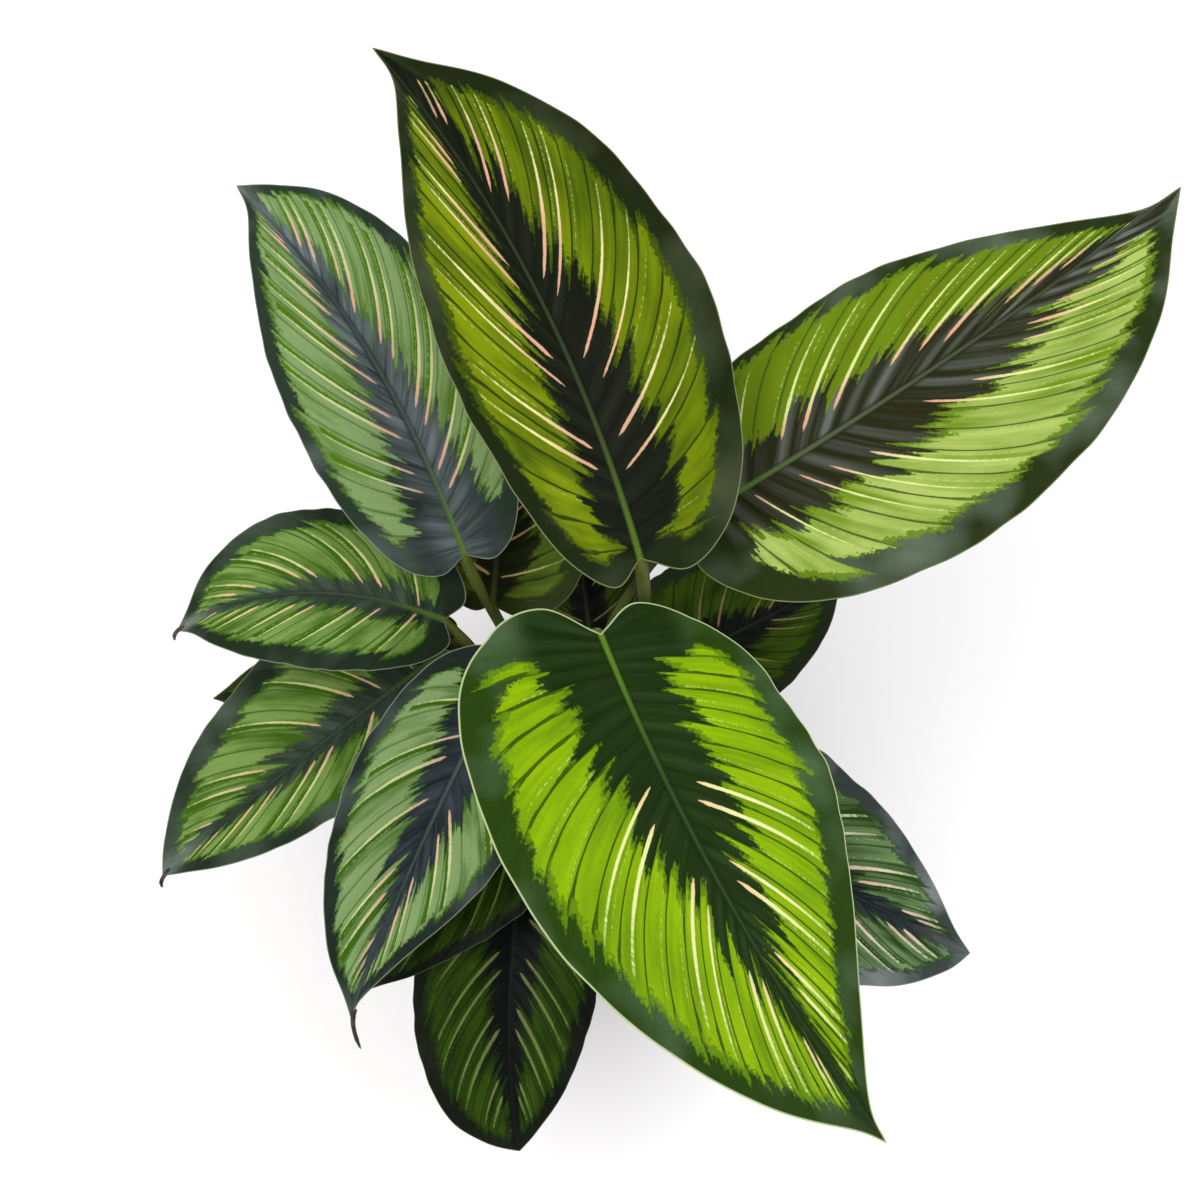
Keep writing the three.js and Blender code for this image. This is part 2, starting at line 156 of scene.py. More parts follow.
class NodeTree:
    """A node tree, of a material or of geometry, that is built node by node."""

    def __init__(self, tree: bpy.types.NodeTree) -> None:
        """Takes up an empty tree."""
        self.tree = tree

    def node(
        self,
        kind: str,
        settings: Mapping[str, object] | None = None,
        sockets: Mapping[str | int, object] | None = None,
    ) -> bpy.types.Node:
        """Adds a node of any kind.

        Args:
            kind: The node's type.
            settings: Its properties, set first.
            sockets: For each input, by name or number, a value, a number, a socket, or a node
                that gives its first output.

        Returns:
            The node.
        """
        made = self.tree.nodes.new(kind)
        for name, value in (settings or {}).items():
            setattr(made, name, value)
        for name, value in (sockets or {}).items():
            if isinstance(value, Num):
                value = value.socket
            elif isinstance(value, bpy.types.Node):
                value = value.outputs[0]
            if isinstance(value, Socket):
                self.tree.links.new(value, made.inputs[name])
            else:
                made.inputs[name].default_value = value
        return made

    def number(self, kind: str, settings: Mapping, sockets: Mapping) -> Num:
        """Adds a node and takes its first output as a number."""
        return Num(self, self.node(kind, settings, sockets).outputs[0])

    def parts(self, vector: object) -> tuple[Num, Num, Num]:
        """The three numbers of a vector."""
        made = self.node("ShaderNodeSeparateXYZ", {}, {0: vector})
        return tuple(Num(self, out) for out in made.outputs)

    def vector(self, x: object = 0.0, y: object = 0.0, z: object = 0.0) -> Socket:
        """A vector of three numbers."""
        return self.node("ShaderNodeCombineXYZ", {}, {0: x, 1: y, 2: z}).outputs[0]

    def scaled(self, vector: object, size: object) -> Socket:
        """A vector or colour made longer or lighter by a number."""
        made = self.node(
            "ShaderNodeVectorMath", {"operation": "SCALE"}, {0: vector, "Scale": size}
        )
        return made.outputs[0]


class Wiring(NodeTree):
    """The node tree of one material, from its inputs to its surface shader."""

    def __init__(self, name: str) -> None:
        """Starts an empty material.

        Args:
            name: The material's name.
        """
        self.material = bpy.data.materials.new(name)
        self.material.use_nodes = True
        super().__init__(self.material.node_tree)
        self.tree.nodes.clear()

    def attribute(self, name: str) -> Num:
        """A number kept on the mesh under a name."""
        made = self.node("ShaderNodeAttribute", {"attribute_name": name})
        return Num(self, made.outputs["Fac"])

    def here(self) -> Socket:
        """The place on the object, in metres."""
        return self.node("ShaderNodeTexCoord").outputs["Object"]

    def stretched(self, size: Triple) -> Socket:
        """The place on the object, stretched along each axis."""
        sockets = {"Vector": self.here(), "Scale": size}
        return self.node("ShaderNodeMapping", {}, sockets).outputs[0]

    def vein_place(self) -> tuple[Num, Num]:
        """The vein number as a share of all, and the signed share of the vein."""
        u, signed, _ = self.parts(self.node("ShaderNodeUVMap", {"uv_map": VEIN_MAP}))
        return u, signed * 2 - 1

    def noise(self, vector: object, scale: float = 1.0, detail: float = 2.0) -> Num:
        """Soft random numbers, from about -0.5 to 0.5, with so many finer layers added."""
        sockets = {"Vector": vector, "Scale": scale, "Detail": detail}
        return self.number("ShaderNodeTexNoise", {}, sockets) - 0.5

    def grain(self, scale: float, detail: float = 2.0) -> Num:
        """Soft random numbers by the place on the object."""
        return self.noise(self.here(), scale, detail)

    def chance(self, *key: Num | float) -> tuple[Num, Num, Num]:
        """Three even random numbers, the same wherever the three key numbers are."""
        made = self.node("ShaderNodeTexWhiteNoise", {}, {"Vector": self.vector(*key)})
        return self.parts(made.outputs["Color"])

    def mix(self, share: Num | float, first: Tone | Socket, second: Tone | Socket) -> Socket:
        """The first colour with so large a share of the second over it."""
        sockets = {"Factor": share, 6: as_input(first), 7: as_input(second)}
        return self.node("ShaderNodeMix", {"data_type": "RGBA"}, sockets).outputs[2]

    def finish(
        self,
        colour: Tone | Socket,
        roughness: Num | float,
        constants: Mapping[str, float],
        height: Num | None = None,
        depth: float = 0.0,
    ) -> bpy.types.Material:
        """Ends the tree in a surface.

        Args:
            colour: The base colour.
            roughness: How matt it is.
            constants: Values that stay the same all over, set on the shader's sockets.
            height: The relief, in parts of its depth.
            depth: The relief's depth in metres.

        Returns:
            The finished material.
        """
        sockets = {"Base Color": as_input(colour), "Roughness": roughness, **constants}
        if height is not None:
            relief = {"Height": height, "Distance": depth}
            sockets["Normal"] = self.node("ShaderNodeBump", {}, relief)
        shader = self.node("ShaderNodeBsdfPrincipled", {}, sockets)
        self.node("ShaderNodeOutputMaterial", {}, {"Surface": shader})
        return self.material


# ---------------------------------------------------------------- finishes
@dataclass(frozen=True)
class BladeFinish:
    """Colours and drawing of the upper face of one kind of blade.

    Distances across the blade are shares of its half width.
    """

    lime: Tone = (102, 120, 0)  # the bright band between middle and margin
    deep: Tone = (62, 82, 0)  # the greener parts of that band
    other: Tone | None = None  # the bright band on the left half, where it differs
    even: float = 0.5  # how much of the bright colour the band has
    dark: Tone = (10, 16, 4)  # the feathered middle
    feather: Tone = (44, 48, 32)  # painted sheen: the light strokes on the middle
    feathered: float = 0.3  # how strongly the painted sheen shows
    stroked: float = 0.6  # how much the painted sheen follows the veins
    shaded: float = 0.3  # how much of the painted sheen is lost towards the band
    border: Tone = (22, 33, 7)  # the green along the margin
    border_sheen: Tone = (78, 86, 60)  # painted sheen in patches on the border
    border_sheen_strength: float = 0.42  # how strongly it shows
    pink: Tone = (202, 156, 130)  # a stripe near the midrib
    cream: Tone = (214, 210, 146)  # the same stripe further out
    pale: Tone = (180, 198, 100)  # and at its end
    blush: float = 0.55  # share of the half width by which pink has gone
    rest: int = 3  # the stripes' rhythm repeats after so many veins
    idle: int = 1  # and so many of them have no stripe
    missing: float = 0.04  # share of the other veins without one
    bare: float = 0.1  # share of the veins by the stalk that have none
    stripe: float = 0.45  # half width of a stripe in mm
    inner: tuple[float, float] = (0.4, 0.31)  # where the band starts, right and left half
    notch: float = 0.0  # how far the middle keeps its full width up to the stalk
    margin: tuple[float, float] = (0.22, 0.17)  # how far from the edge the band ends
    opening: float = 0.03  # share of the veins at which the band opens by the stalk
    closing: float = 0.82  # and closes by the tip
    soft: float = 0.007  # how gently the band ends
    taper: float = 0.6  # how much a stripe thins towards its outer end
    tip_sheen: float = 0.0  # painted sheen at the tip
    narrowing: float = 0.4  # how much narrower the middle is in the tip's half
    tongue: float = 0.24  # how far dark strokes reach into the band
    stripe_shadow: float = 0.35  # how strongly a darker, greener strip of painted shadow goes beside a stripe
    uneven: float = 0.09  # how far the band's start strays by chance from vein to vein
    tooth: float = 0.1  # how far the band's ends step from vein to vein
    begin: float = 0.07  # where a stripe starts
    rib: Tone = (76, 104, 26)  # the midrib by the stalk
    rib_tip: Tone = (54, 64, 40)  # and by the tip
    finger: float = 0.7  # how wide, in mm, the gaps between the veins open at their ends
    vein: Tone = (32, 48, 4)  # the thin lines between the stripes
    rim: Tone = (120, 130, 88)  # the pale line of the edge
    rim_width: float = 0.24  # in mm
    dust_and_sheen: Tone = (170, 182, 172)  # the colour of the painted sheen at the tip
    shine: float = 0.08  # the shader's specular level
    bending: float = 1.4  # index of refraction
    relief: float = 0.00022  # depth of the bumps in metres


class LeafTone(Enum):
    """The kinds of blade on the plant, by their light and age."""

    OLIVE = BladeFinish(other=(114, 131, 2), finger=1.0, opening=-0.01)
    PALE = BladeFinish(
        lime=(160, 180, 92), deep=(100, 130, 16), other=(94, 116, 4), even=0.54,
        dark=(34, 36, 12), feather=(92, 98, 90), feathered=0.72, stroked=1.0,
        shaded=0.5, border=(34, 46, 14), border_sheen=(92, 106, 88), border_sheen_strength=0.75,
        pink=(210, 152, 130), cream=(206, 214, 140), pale=(186, 208, 116), blush=0.4,
        rest=4, stripe=0.42, inner=(0.36, 0.34), narrowing=0.22, margin=(0.2, 0.15),
        closing=0.9, tongue=0.42, begin=0.12, vein=(60, 84, 20),
        rib=(84, 116, 30), rib_tip=(78, 90, 70),
    )
    BRIGHT = BladeFinish(
        lime=(131, 167, 0), deep=(98, 136, 2), dark=(18, 38, 1), feather=(46, 68, 32),
        feathered=0.5, uneven=0.14, finger=1.0, narrowing=0.42, notch=0.9, rest=4, idle=2,
        border=(34, 58, 4), border_sheen=(84, 108, 78), border_sheen_strength=0.55,
        pink=(222, 186, 144), cream=(214, 218, 148), pale=(194, 216, 108), blush=0.3,
        bare=0.3, inner=(0.33, 0.33), margin=(0.18, 0.21),
        closing=0.88, begin=0.1, stripe=0.5, taper=0.35, rib=(84, 122, 26), rib_tip=(48, 72, 36),
        vein=(44, 70, 2), rim=(180, 196, 142), rim_width=0.36,
    )
    # SAGE and SLATE: the blue-grey of the middle is partly the leaf's waxy bloom, partly painted
    # sheen.
    SAGE = BladeFinish(
        lime=(124, 151, 96), deep=(72, 112, 10), even=0.78, dark=(36, 46, 44),
        feather=(106, 117, 120), feathered=1.1, stroked=0.3, shaded=0.8, border=(38, 52, 40),
        border_sheen=(88, 102, 96), border_sheen_strength=0.7, pink=(204, 164, 136), cream=(196, 200, 146),
        pale=(166, 190, 118), blush=0.42, inner=(0.33, 0.33), notch=0.6, margin=(0.17, 0.17),
        closing=0.96, soft=0.03, tip_sheen=0.28, tongue=0.4, stripe_shadow=1.6, stripe=0.42,
        rib=(84, 118, 44), rib_tip=(74, 86, 82), vein=(80, 112, 54), finger=0.4,
        rim=(128, 142, 122), rim_width=0.2,
    )
    SLATE = replace(
        SAGE, dark=(22, 29, 33), feather=(76, 88, 96), feathered=0.75, border=(28, 39, 32),
        deep=(56, 96, 8), pink=(208, 170, 140), notch=0.2,
    )
    MOSS = BladeFinish(
        lime=(114, 144, 72), deep=(54, 92, 6), even=0.56, dark=(28, 41, 28),
        feather=(78, 94, 80), feathered=0.8, stroked=0.4, shaded=0.6, border=(28, 42, 26),
        border_sheen=(84, 100, 84), border_sheen_strength=0.6, pink=(206, 168, 130), cream=(192, 196, 132),
        pale=(160, 184, 100), blush=0.42, inner=(0.26, 0.26), margin=(0.23, 0.23),
        closing=0.97, soft=0.03, tip_sheen=0.6, tongue=0.34, stripe_shadow=1.3, stripe=0.42,
        rib=(74, 104, 36), rib_tip=(58, 74, 54), vein=(62, 96, 28), finger=0.5,
        rim=(118, 132, 108), rim_width=0.2,
    )
    DUSK = BladeFinish(
        lime=(112, 140, 96), deep=(36, 66, 12), other=(100, 128, 80), even=0.45, dark=(14, 20, 24),
        feather=(62, 74, 76), feathered=0.7, stroked=0.4, shaded=0.5, border=(54, 63, 60),
        border_sheen=(130, 138, 136), border_sheen_strength=0.85, pink=(214, 184, 166), cream=(214, 212, 184),
        pale=(184, 198, 158), inner=(0.34, 0.34), margin=(0.17, 0.17), closing=0.95,
        soft=0.016, tip_sheen=0.3, tongue=0.36, stripe_shadow=0.8, stripe=0.52, taper=0.4, rib=(66, 92, 36),
        rib_tip=(54, 64, 60), vein=(44, 70, 28), rim=(120, 130, 124), rim_width=0.2,
    )
    INNER = BladeFinish(
        lime=(84, 108, 22), deep=(54, 76, 8), even=0.6, dark=(24, 30, 10), feather=(48, 56, 32),
        border=(40, 52, 14), border_sheen=(58, 70, 30), border_sheen_strength=0.3, pink=(190, 160, 110),
        cream=(176, 180, 108), pale=(146, 168, 80), closing=0.97, soft=0.014, stripe=0.42,
        rib=(66, 88, 28), rib_tip=(48, 60, 30), vein=(34, 50, 8), rim=(96, 108, 66),
        rim_width=0.2,
    )
    # This kind and SHADE are darker for blades that lie low or inside the plant: painted shade.
    DEEP_SHADE = BladeFinish(
        lime=(44, 70, 4), deep=(20, 37, 2), even=0.42, dark=(8, 13, 10), feather=(22, 29, 27),
        border=(12, 19, 8), border_sheen=(34, 43, 28), border_sheen_strength=0.4, pink=(100, 112, 62),
        cream=(94, 118, 54), pale=(68, 98, 26), inner=(0.32, 0.32), margin=(0.18, 0.18),
        closing=0.97, soft=0.05, tongue=0.4, stripe=0.5, taper=0.3, rib=(34, 48, 18),
        rib_tip=(24, 32, 22), vein=(24, 42, 2), finger=0.4, rim=(70, 82, 54), rim_width=0.18,
    )
    SHADE = BladeFinish(
        lime=(54, 78, 8), deep=(30, 50, 4), dark=(10, 15, 9), feather=(38, 46, 38),
        border=(30, 40, 22), border_sheen=(50, 60, 50), border_sheen_strength=0.3, pink=(124, 108, 68),
        cream=(108, 114, 62), pale=(84, 100, 42), closing=0.97, soft=0.03, stripe=0.34,
        rib=(60, 80, 28), rib_tip=(42, 50, 36), vein=(28, 44, 6), rim=(80, 90, 66),
        rim_width=0.18,
    )


# How often each kind of random number changes, from vein to vein and along a vein,
STROKES, RAGGED, WOBBLE, DOTS = (4.2, 2.0), (11, 16), (1, 9), (3.1, 60)
PATCHES, GAPS, MOTTLE = (0.9, 2.2), (1.7, 3.2), (5, 46)
# and over the whole blade, to the metre.
SPECKS, GRAIN, SHEEN_SPOTS, SHEEN_PATCHES = 820, 900, 60, 34
THINNEST = 0.06  # half width in mm of the thinnest stripe that still shows
SIDE_KEY = 9.0  # sets the chances of the right half apart from the left's


class BladeSkin:
    """Draws a blade's upper face from its vein numbers."""

    def __init__(
        self, name: str, look: BladeFinish, veins: int, widths: tuple[float, float], seed: float
    ) -> None:
        """Starts the material and reads the numbers that the pattern follows.

        Args:
            name: The leaf's name.
            look: Its colours and drawing.
            veins: How many side veins a half blade has.
            widths: The blade's half widths in mm, right and left.
            seed: What makes this blade's chances its own.
        """
        self.look, self.w = look, Wiring(f"{name}_upper")
        self.u, signed = self.w.vein_place()
        self.s, self.side = abs(signed), signed > 0
        self.number = self.u * veins
        self.cell = self.number.floor()
        self.across = self.number - self.cell
        self.pitch, self.rib, self.rim = map(self.w.attribute, (PITCH, RIB, RIM))
        here = self.rib + self.rim
        full = self.sided(widths)
        self.out = self.rib / (here + (full - here) * (1 - self.u.rise(0.08, 0.35)) * look.notch)
        self.left_in = self.rim / ((here + full) * 0.5)
        self.key = self.side * SIDE_KEY + seed
        self.first, self.second, self.third = (
            self.w.chance(self.cell, self.key, draw) for draw in (1.0, 2.0, 3.0)
        )
        self.stroke = self.noise(self.number, STROKES)
        self.ragged = self.noise(self.number, RAGGED, detail=1)
        self.speck = self.w.grain(SPECKS)

    def sided(self, pair: tuple[float, float]) -> Num:
        """The value for the right or the left half."""
        return self.side * (pair[0] - pair[1]) + pair[1]

    def noise(
        self, across: Num, often: tuple[float, float], shift: float = 0.0, detail: float = 2.0
    ) -> Num:
        """Makes soft random numbers that follow the veins.

        Args:
            across: What they change with from vein to vein.
            often: How often they change with it, and along a vein.
            shift: Gives other numbers for the same place.
            detail: How many finer layers are added.

        Returns:
            The numbers, from about -0.5 to 0.5.
        """
        place = self.w.vector(across * often[0], self.s * often[1], self.key + shift)
        return self.w.noise(place, 1, detail)

    def within(self, enter: Num, leave: Num, soft: float) -> Num:
        """One between two shares of the blade, from the midrib and from the margin."""
        outward = self.out.rise(enter - soft, enter + soft)
        return outward * self.left_in.rise(leave - soft, leave + soft)

    def band(self) -> tuple[Num, Num]:
        """Finds the bright band.

        Returns:
            How much of the bright colour shows, and how much of the greener one under it,
            which reaches a little further.
        """
        look = self.look
        # The band closes up by the stalk and by the tip.
        shut = (1 - self.u.rise(look.opening, look.opening + 0.07)) * 0.5
        shut = shut + self.u.rise(look.closing - 0.1, look.closing + 0.08) * 0.6
        step = (self.across - 0.5) * look.tooth
        enter = (
            self.sided(look.inner) * (1 - self.u.rise(0.25, 0.7) * look.narrowing) + shut
            + (1 - self.u.rise(0.06, 0.34)) * 0.1 + (self.first[0] - 0.5) * look.uneven + step
            + self.stroke * look.tongue + self.ragged * 0.05 + self.speck * 0.1
        )
        leave = (
            self.sided(look.margin) + shut * 0.3 + (self.second[0] - 0.5) * 0.06 - step * 0.5
            + self.stroke * 0.12 - self.ragged * 0.03 - self.speck * 0.1
        )
        self.depth = (self.out - enter).least(self.left_in - leave)
        more = self.second[1] * 0.05 + 0.008
        return self.within(enter, leave, look.soft), self.within(enter - more, leave - more, 0.02)

    def stripe(self) -> tuple[Socket, Num]:
        """Draws the pinstripes, each with its start, end and width.

        Returns:
            The stripes' colour and how much of it shows.
        """
        look, w = self.look, self.w
        start = self.third[0] * 0.09 + look.begin
        stop = self.sided(look.margin) * 0.8 + self.third[1] * 0.1 + self.u.rise(0.8, 0.97) * 0.2
        centre = self.first[1] * 0.3 + 0.35
        wobble = self.noise(self.cell, WOBBLE, detail=1) * 0.3
        apart = abs(self.across - centre) * self.pitch + wobble + self.speck * 0.3
        width = (
            self.out.rise(start, start + 0.06) * self.left_in.rise(stop - 0.02, stop + 0.02)
            * (self.left_in.rise(stop - 0.02, stop + 0.45) * look.taper + 1 - look.taper)
            * (self.third[2] * 0.5 + 0.75) * look.stripe
        )
        # Some veins rest in a steady rhythm; others have no stripe by chance.
        turn = self.cell / look.rest
        resting = turn - turn.floor() < (look.idle - 0.5) / look.rest
        solid = (
            (self.second[2] > look.missing) * (1 - resting) * (self.u > look.bare + 0.03)
            * (width > THINNEST)
        )
        # Towards the margin a stripe wears away in dashes.
        dots = self.noise(self.cell, DOTS).rise(-0.06, 0.12)
        worn = (1 - self.left_in.rise(stop, stop + 0.3)) * (1 - dots) * 0.75
        main = ((width - apart) * 4.5 + 0.5).share() * solid * (1 - worn)
        # A thin broken line runs beside some stripes and alone on some bare veins.
        beside = abs(self.across - centre - 0.27) * self.pitch + wobble
        fine = (
            (1 - beside.rise(0.08, 0.26)) * dots * (self.second[2] > 0.5)
            * (self.out > start + 0.12) * (self.left_in > stop + 0.05) * (self.u > 0.05)
            * self.depth.rise(-0.06, 0.02)
        )
        warm = w.mix(self.out.rise(look.blush * 0.4, look.blush), look.pink, look.cream)
        colour = w.mix(1 - self.left_in.rise(0.1, 0.42), warm, look.pale)
        colour = w.mix(main.rise(0, 0.5), look.pale, colour)
        # A darker, greener strip on one side of each stripe is painted shadow.
        self.stripe_shadow = solid * (self.across > centre) * (1 - apart.rise(0.5, 2.2))
        return colour, main.most(fine * 0.5)

    def middle(self) -> Socket:
        """Paints the dark middle.

        Returns:
            Its colour, with the painted sheen that runs in strokes along its veins.
        """
        look = self.look
        # Painted sheen: light lies on the swell between two veins and in soft patches.
        hump = (1 - abs(self.across * 2 - 1)).rise(0.15, 0.9) * (self.first[2] * 1.7 - 0.2).most(0)
        soft = self.w.grain(SHEEN_SPOTS) * 1.6 + 0.5
        brush = hump * look.stroked + soft * (1 - look.stroked) + self.stroke * 1.2
        brush = brush * (1 - self.out.rise(0.1, 0.42) * look.shaded)
        light = (brush * self.out.rise(0.01, 0.06) * look.feathered).share()
        return self.w.mix(light, look.dark, look.feather)

    def band_colour(self) -> Socket:
        """Paints the bright band.

        Returns:
            Its colour, which gets greener beside stripes and in patches.
        """
        look, w = self.look, self.w
        patch = self.noise(self.number, PATCHES, shift=3)
        fresh = self.stroke * 1.1 + patch * 2.6 + self.second[2] * 0.3 + look.even
        full = w.mix(self.side, look.other, look.lime) if look.other else look.lime
        return w.mix((fresh - self.stripe_shadow * look.stripe_shadow).share(), look.deep, full)

    def material(self) -> bpy.types.Material:
        """Lays the parts of the pattern over one another.

        Returns:
            The material of the upper face.
        """
        look, w = self.look, self.w
        bright, green = self.band()
        # Painted sheen lies in patches over the border.
        sheen_patch = ((w.grain(SHEEN_PATCHES) * 4.4 + 0.15) * look.border_sheen_strength).share()
        border = w.mix(sheen_patch, look.border, look.border_sheen)
        ground = w.mix(self.out.rise(0.4, 0.6), self.middle(), border)
        stripes, shown = self.stripe()
        colour = w.mix(bright, w.mix(green * 0.8, ground, look.deep), self.band_colour())
        ridge = abs(self.across - 0.5) * 2  # one at a vein, nought half way to the next
        to_vein = (1 - ridge) * 0.5 * self.pitch
        # The thin lines between the stripes open into gaps at the band's ends.
        gap = self.noise(self.cell, GAPS, shift=7) * 3 + 0.1
        ends = (1 - self.depth.rise(0, 0.16)) * 0.9 + (1 - self.u.rise(0.06, 0.4)) * 0.5
        wide = (ends * gap.most(0) + 0.06) * look.finger + 0.11
        line = (1 - to_vein.rise(wide, wide + 0.14)) * bright
        colour = w.mix(shown, w.mix(line * 0.9, colour, look.vein), stripes)
        mottle = self.noise(self.number, MOTTLE)
        # Darker by each vein: painted shade of the pleats; the strokes and mottle are random tone.
        light = 1.02 - ridge**3 * 0.07 + self.stroke * 0.22 + mottle * 0.2
        # The midrib thins from the stalk to the tip and fades with it.
        half = (1 - self.u) ** 1.5 + 0.2
        rib = (1 - self.rib.rise(half * 0.3, half + 0.35)) * (1 - self.u.rise(0.1, 1.0) * 0.55)
        rib_colour = w.mix(self.u.rise(0.02, 0.4), look.rib, look.rib_tip)
        colour = w.mix(rib, w.scaled(colour, light), rib_colour)
        # Painted sheen towards the tip.
        if look.tip_sheen:
            tip_sheen = self.u.rise(0.8, 1.0) * (w.grain(SHEEN_SPOTS) * 1.2 + 0.55) * look.tip_sheen
            colour = w.mix(tip_sheen, colour, look.dust_and_sheen)
        edge = (1 - self.rim.rise(look.rim_width * 0.6, look.rim_width + 0.2)) * 0.9
        grain = w.grain(GRAIN)
        height = self.stroke * 0.4 - ridge.rise(0.8, 1.0) * 0.4 + shown * 0.25 + grain * 0.25
        rough = 0.44 + bright * 0.06 + shown * 0.1 + grain * 0.12
        gloss = {SHINE: look.shine, "IOR": look.bending}
        return w.finish(w.mix(edge, colour, look.rim), rough, gloss, height, look.relief)


@dataclass(frozen=True)
class UnderFinish:
    """The purple underside of the blades."""

    wine: Tone = (92, 44, 62)
    violet: Tone = (118, 66, 88)
    green: Tone = (74, 74, 52)
    rib: Tone = (128, 104, 84)
    veins: int = 18
    shine: float = 0.3
    relief: float = 0.0003

    def material(self) -> bpy.types.Material:
        """Makes the material, which reads the same vein numbers as the upper face.

        Returns:
            The material of the underside.
        """
        w = Wiring("blade_underside")
        u, signed = w.vein_place()
        s, number = abs(signed), u * self.veins
        ridge = abs(number - number.floor() - 0.5) * 2
        stroke = w.noise(w.vector(number * STROKES[0], s * STROKES[1], signed * 1.5 + 1.5))
        colour = w.mix((w.grain(26, 3) * 2.4 + 0.5).share(), self.wine, self.violet)
        band = s.rise(0.3, 0.4) * (1 - s.rise(0.74, 0.84))
        colour = w.mix((band * 0.3 + stroke * 0.6).most(0), colour, self.green)
        line = 1 - ((1 - ridge) * 0.5 * w.attribute(PITCH)).rise(0.15, 0.6)
        half = (1 - u) ** 0.8 * 1.3 + 0.3
        rib = 1 - w.attribute(RIB).rise(half * 0.7, half + 0.3)
        colour = w.mix(rib * 0.8, w.mix(line * 0.35, colour, self.rib), self.rib)
        grain = w.grain(700)
        height = line * 0.7 + grain * 0.4 + stroke * 0.4
        colour = w.scaled(colour, 1.0 + grain * 0.4)
        return w.finish(colour, 0.55 + grain * 0.1, {SHINE: self.shine}, height, self.relief)


@dataclass(frozen=True)
class StalkFinish:
    """The olive green of the stalks, paler and finely ribbed along their length."""

    olive: Tone = (74, 84, 26)
    shaded: Tone = (40, 47, 14)
    foot: Tone = (72, 48, 36)
    joint: Tone = (86, 96, 36)
    foot_end: tuple[float, float] = (0.1, 0.42)  # shares of the length over which its colour goes
    joint_start: tuple[float, float] = (0.8, 0.9)
    fibre: Triple = (1.0, 1.0, 0.06)  # the fibres are drawn out along Z
    shine: float = 0.14
    relief: float = 0.0002

    def material(self) -> bpy.types.Material:
        """Makes the material from the share of the stalk's length and its place.

        Returns:
            The material of the stalks.
        """
        w = Wiring("stalk_olive")
        along = w.attribute(ALONG)
        fibre = w.noise(w.stretched(self.fibre), 1500)
        colour = w.mix((w.grain(120, 3) * 2 + 0.5).share(), self.shaded, self.olive)
        colour = w.mix(1 - along.rise(*self.foot_end), colour, self.foot)
        colour = w.mix(along.rise(*self.joint_start) * 0.7, colour, self.joint)
        colour = w.scaled(colour, 1.0 + fibre * 0.5)
        return w.finish(colour, 0.42 + fibre * 0.2, {SHINE: self.shine}, fibre, self.relief)


@dataclass(frozen=True)
class GrainFinish:
    """A rough grainy finish: peat, bark or perlite."""

    name: str
    low: Tone
    high: Tone
    scale: float
    relief: float = 0.0006
    shine: float = 0.25

    def material(self) -> bpy.types.Material:
        """Makes the material from two layers of noise.

        Returns:
            The material of the grains.
        """
        w = Wiring(self.name)
        coarse, fine = w.grain(self.scale, 4), w.grain(self.scale * 5, 3)
        colour = w.mix((coarse * 2.6 + fine * 0.8 + 0.45).share(), self.low, self.high)
        height = coarse + fine * 0.5
        return w.finish(colour, 0.92 + fine * 0.12, {SHINE: self.shine}, height, self.relief)


@dataclass(frozen=True)
class PotFinish:
    """Moulded dark plastic with a fine texture, scuffs and dust from potting."""

    plastic: Tone = (44, 45, 47)
    worn: Tone = (74, 74, 74)
    dust_and_sheen: Tone = (92, 78, 64)
    splashed: tuple[float, float] = (0.0, 0.016)  # heights over which the foot's dust goes
    brim: tuple[float, float] = (0.086, 0.0905)  # and the rim's comes
    ring: Triple = (0.05, 0.05, 1.0)  # the mould's marks run round the pot
    shine: float = 0.45
    relief: float = 0.00012

    def material(self) -> bpy.types.Material:
        """Makes the material from the place on the pot.

        Returns:
            The material of the pot.
        """
        w = Wiring("pot_dark_plastic")
        z = w.parts(w.here())[2]
        mould, patch = w.grain(2600), w.grain(55, 4)
        ring = w.noise(w.stretched(self.ring), 900)
        scuff = (ring * 2.2 + patch * 1.6 - 0.35).rise(0.0, 0.7)
        colour = w.mix(scuff * 0.6, self.plastic, self.worn)
        dusty = (1 - z.rise(*self.splashed)) * 0.35 + z.rise(*self.brim) * 0.3
        colour = w.mix((dusty * (patch * 2.4 + 0.8)).share(), colour, self.dust_and_sheen)
        rough = 0.46 + patch * 0.2 + scuff * 0.12
        height = mould * 0.8 + ring * 0.5
        return w.finish(colour, rough, {SHINE: self.shine}, height, self.relief)


# ---------------------------------------------------------------- meshes and geometry trees
def placed(name: str, data: bpy.types.ID) -> bpy.types.Object:
    """Makes an object and links it into the scene.

    Args:
        name: Its name.
        data: Its mesh, curve, lamp or camera.

    Returns:
        The object.
    """
    made = bpy.data.objects.new(name, data)
    bpy.context.scene.collection.objects.link(made)
    return made


def from_shape(shape: bmesh.types.BMesh, name: str) -> bpy.types.Mesh:
    """Turns an edited shape into a mesh and lets go of it.

    Args:
        shape: The shape.
        name: The mesh's name.

    Returns:
        The new mesh.
    """
    mesh = bpy.data.meshes.new(name)
    shape.to_mesh(mesh)
    shape.free()
    return mesh


def as_mesh(thing: bpy.types.Object) -> bpy.types.Mesh:
    """Makes a plain mesh of what an object's modifiers make, and takes the object away.

    Args:
        thing: The object.

    Returns:
        The plain mesh.
    """
    graph = bpy.context.evaluated_depsgraph_get()
    mesh = bpy.data.meshes.new_from_object(
        thing.evaluated_get(graph), preserve_all_data_layers=True, depsgraph=graph
    )
    bpy.data.objects.remove(thing)
    return mesh


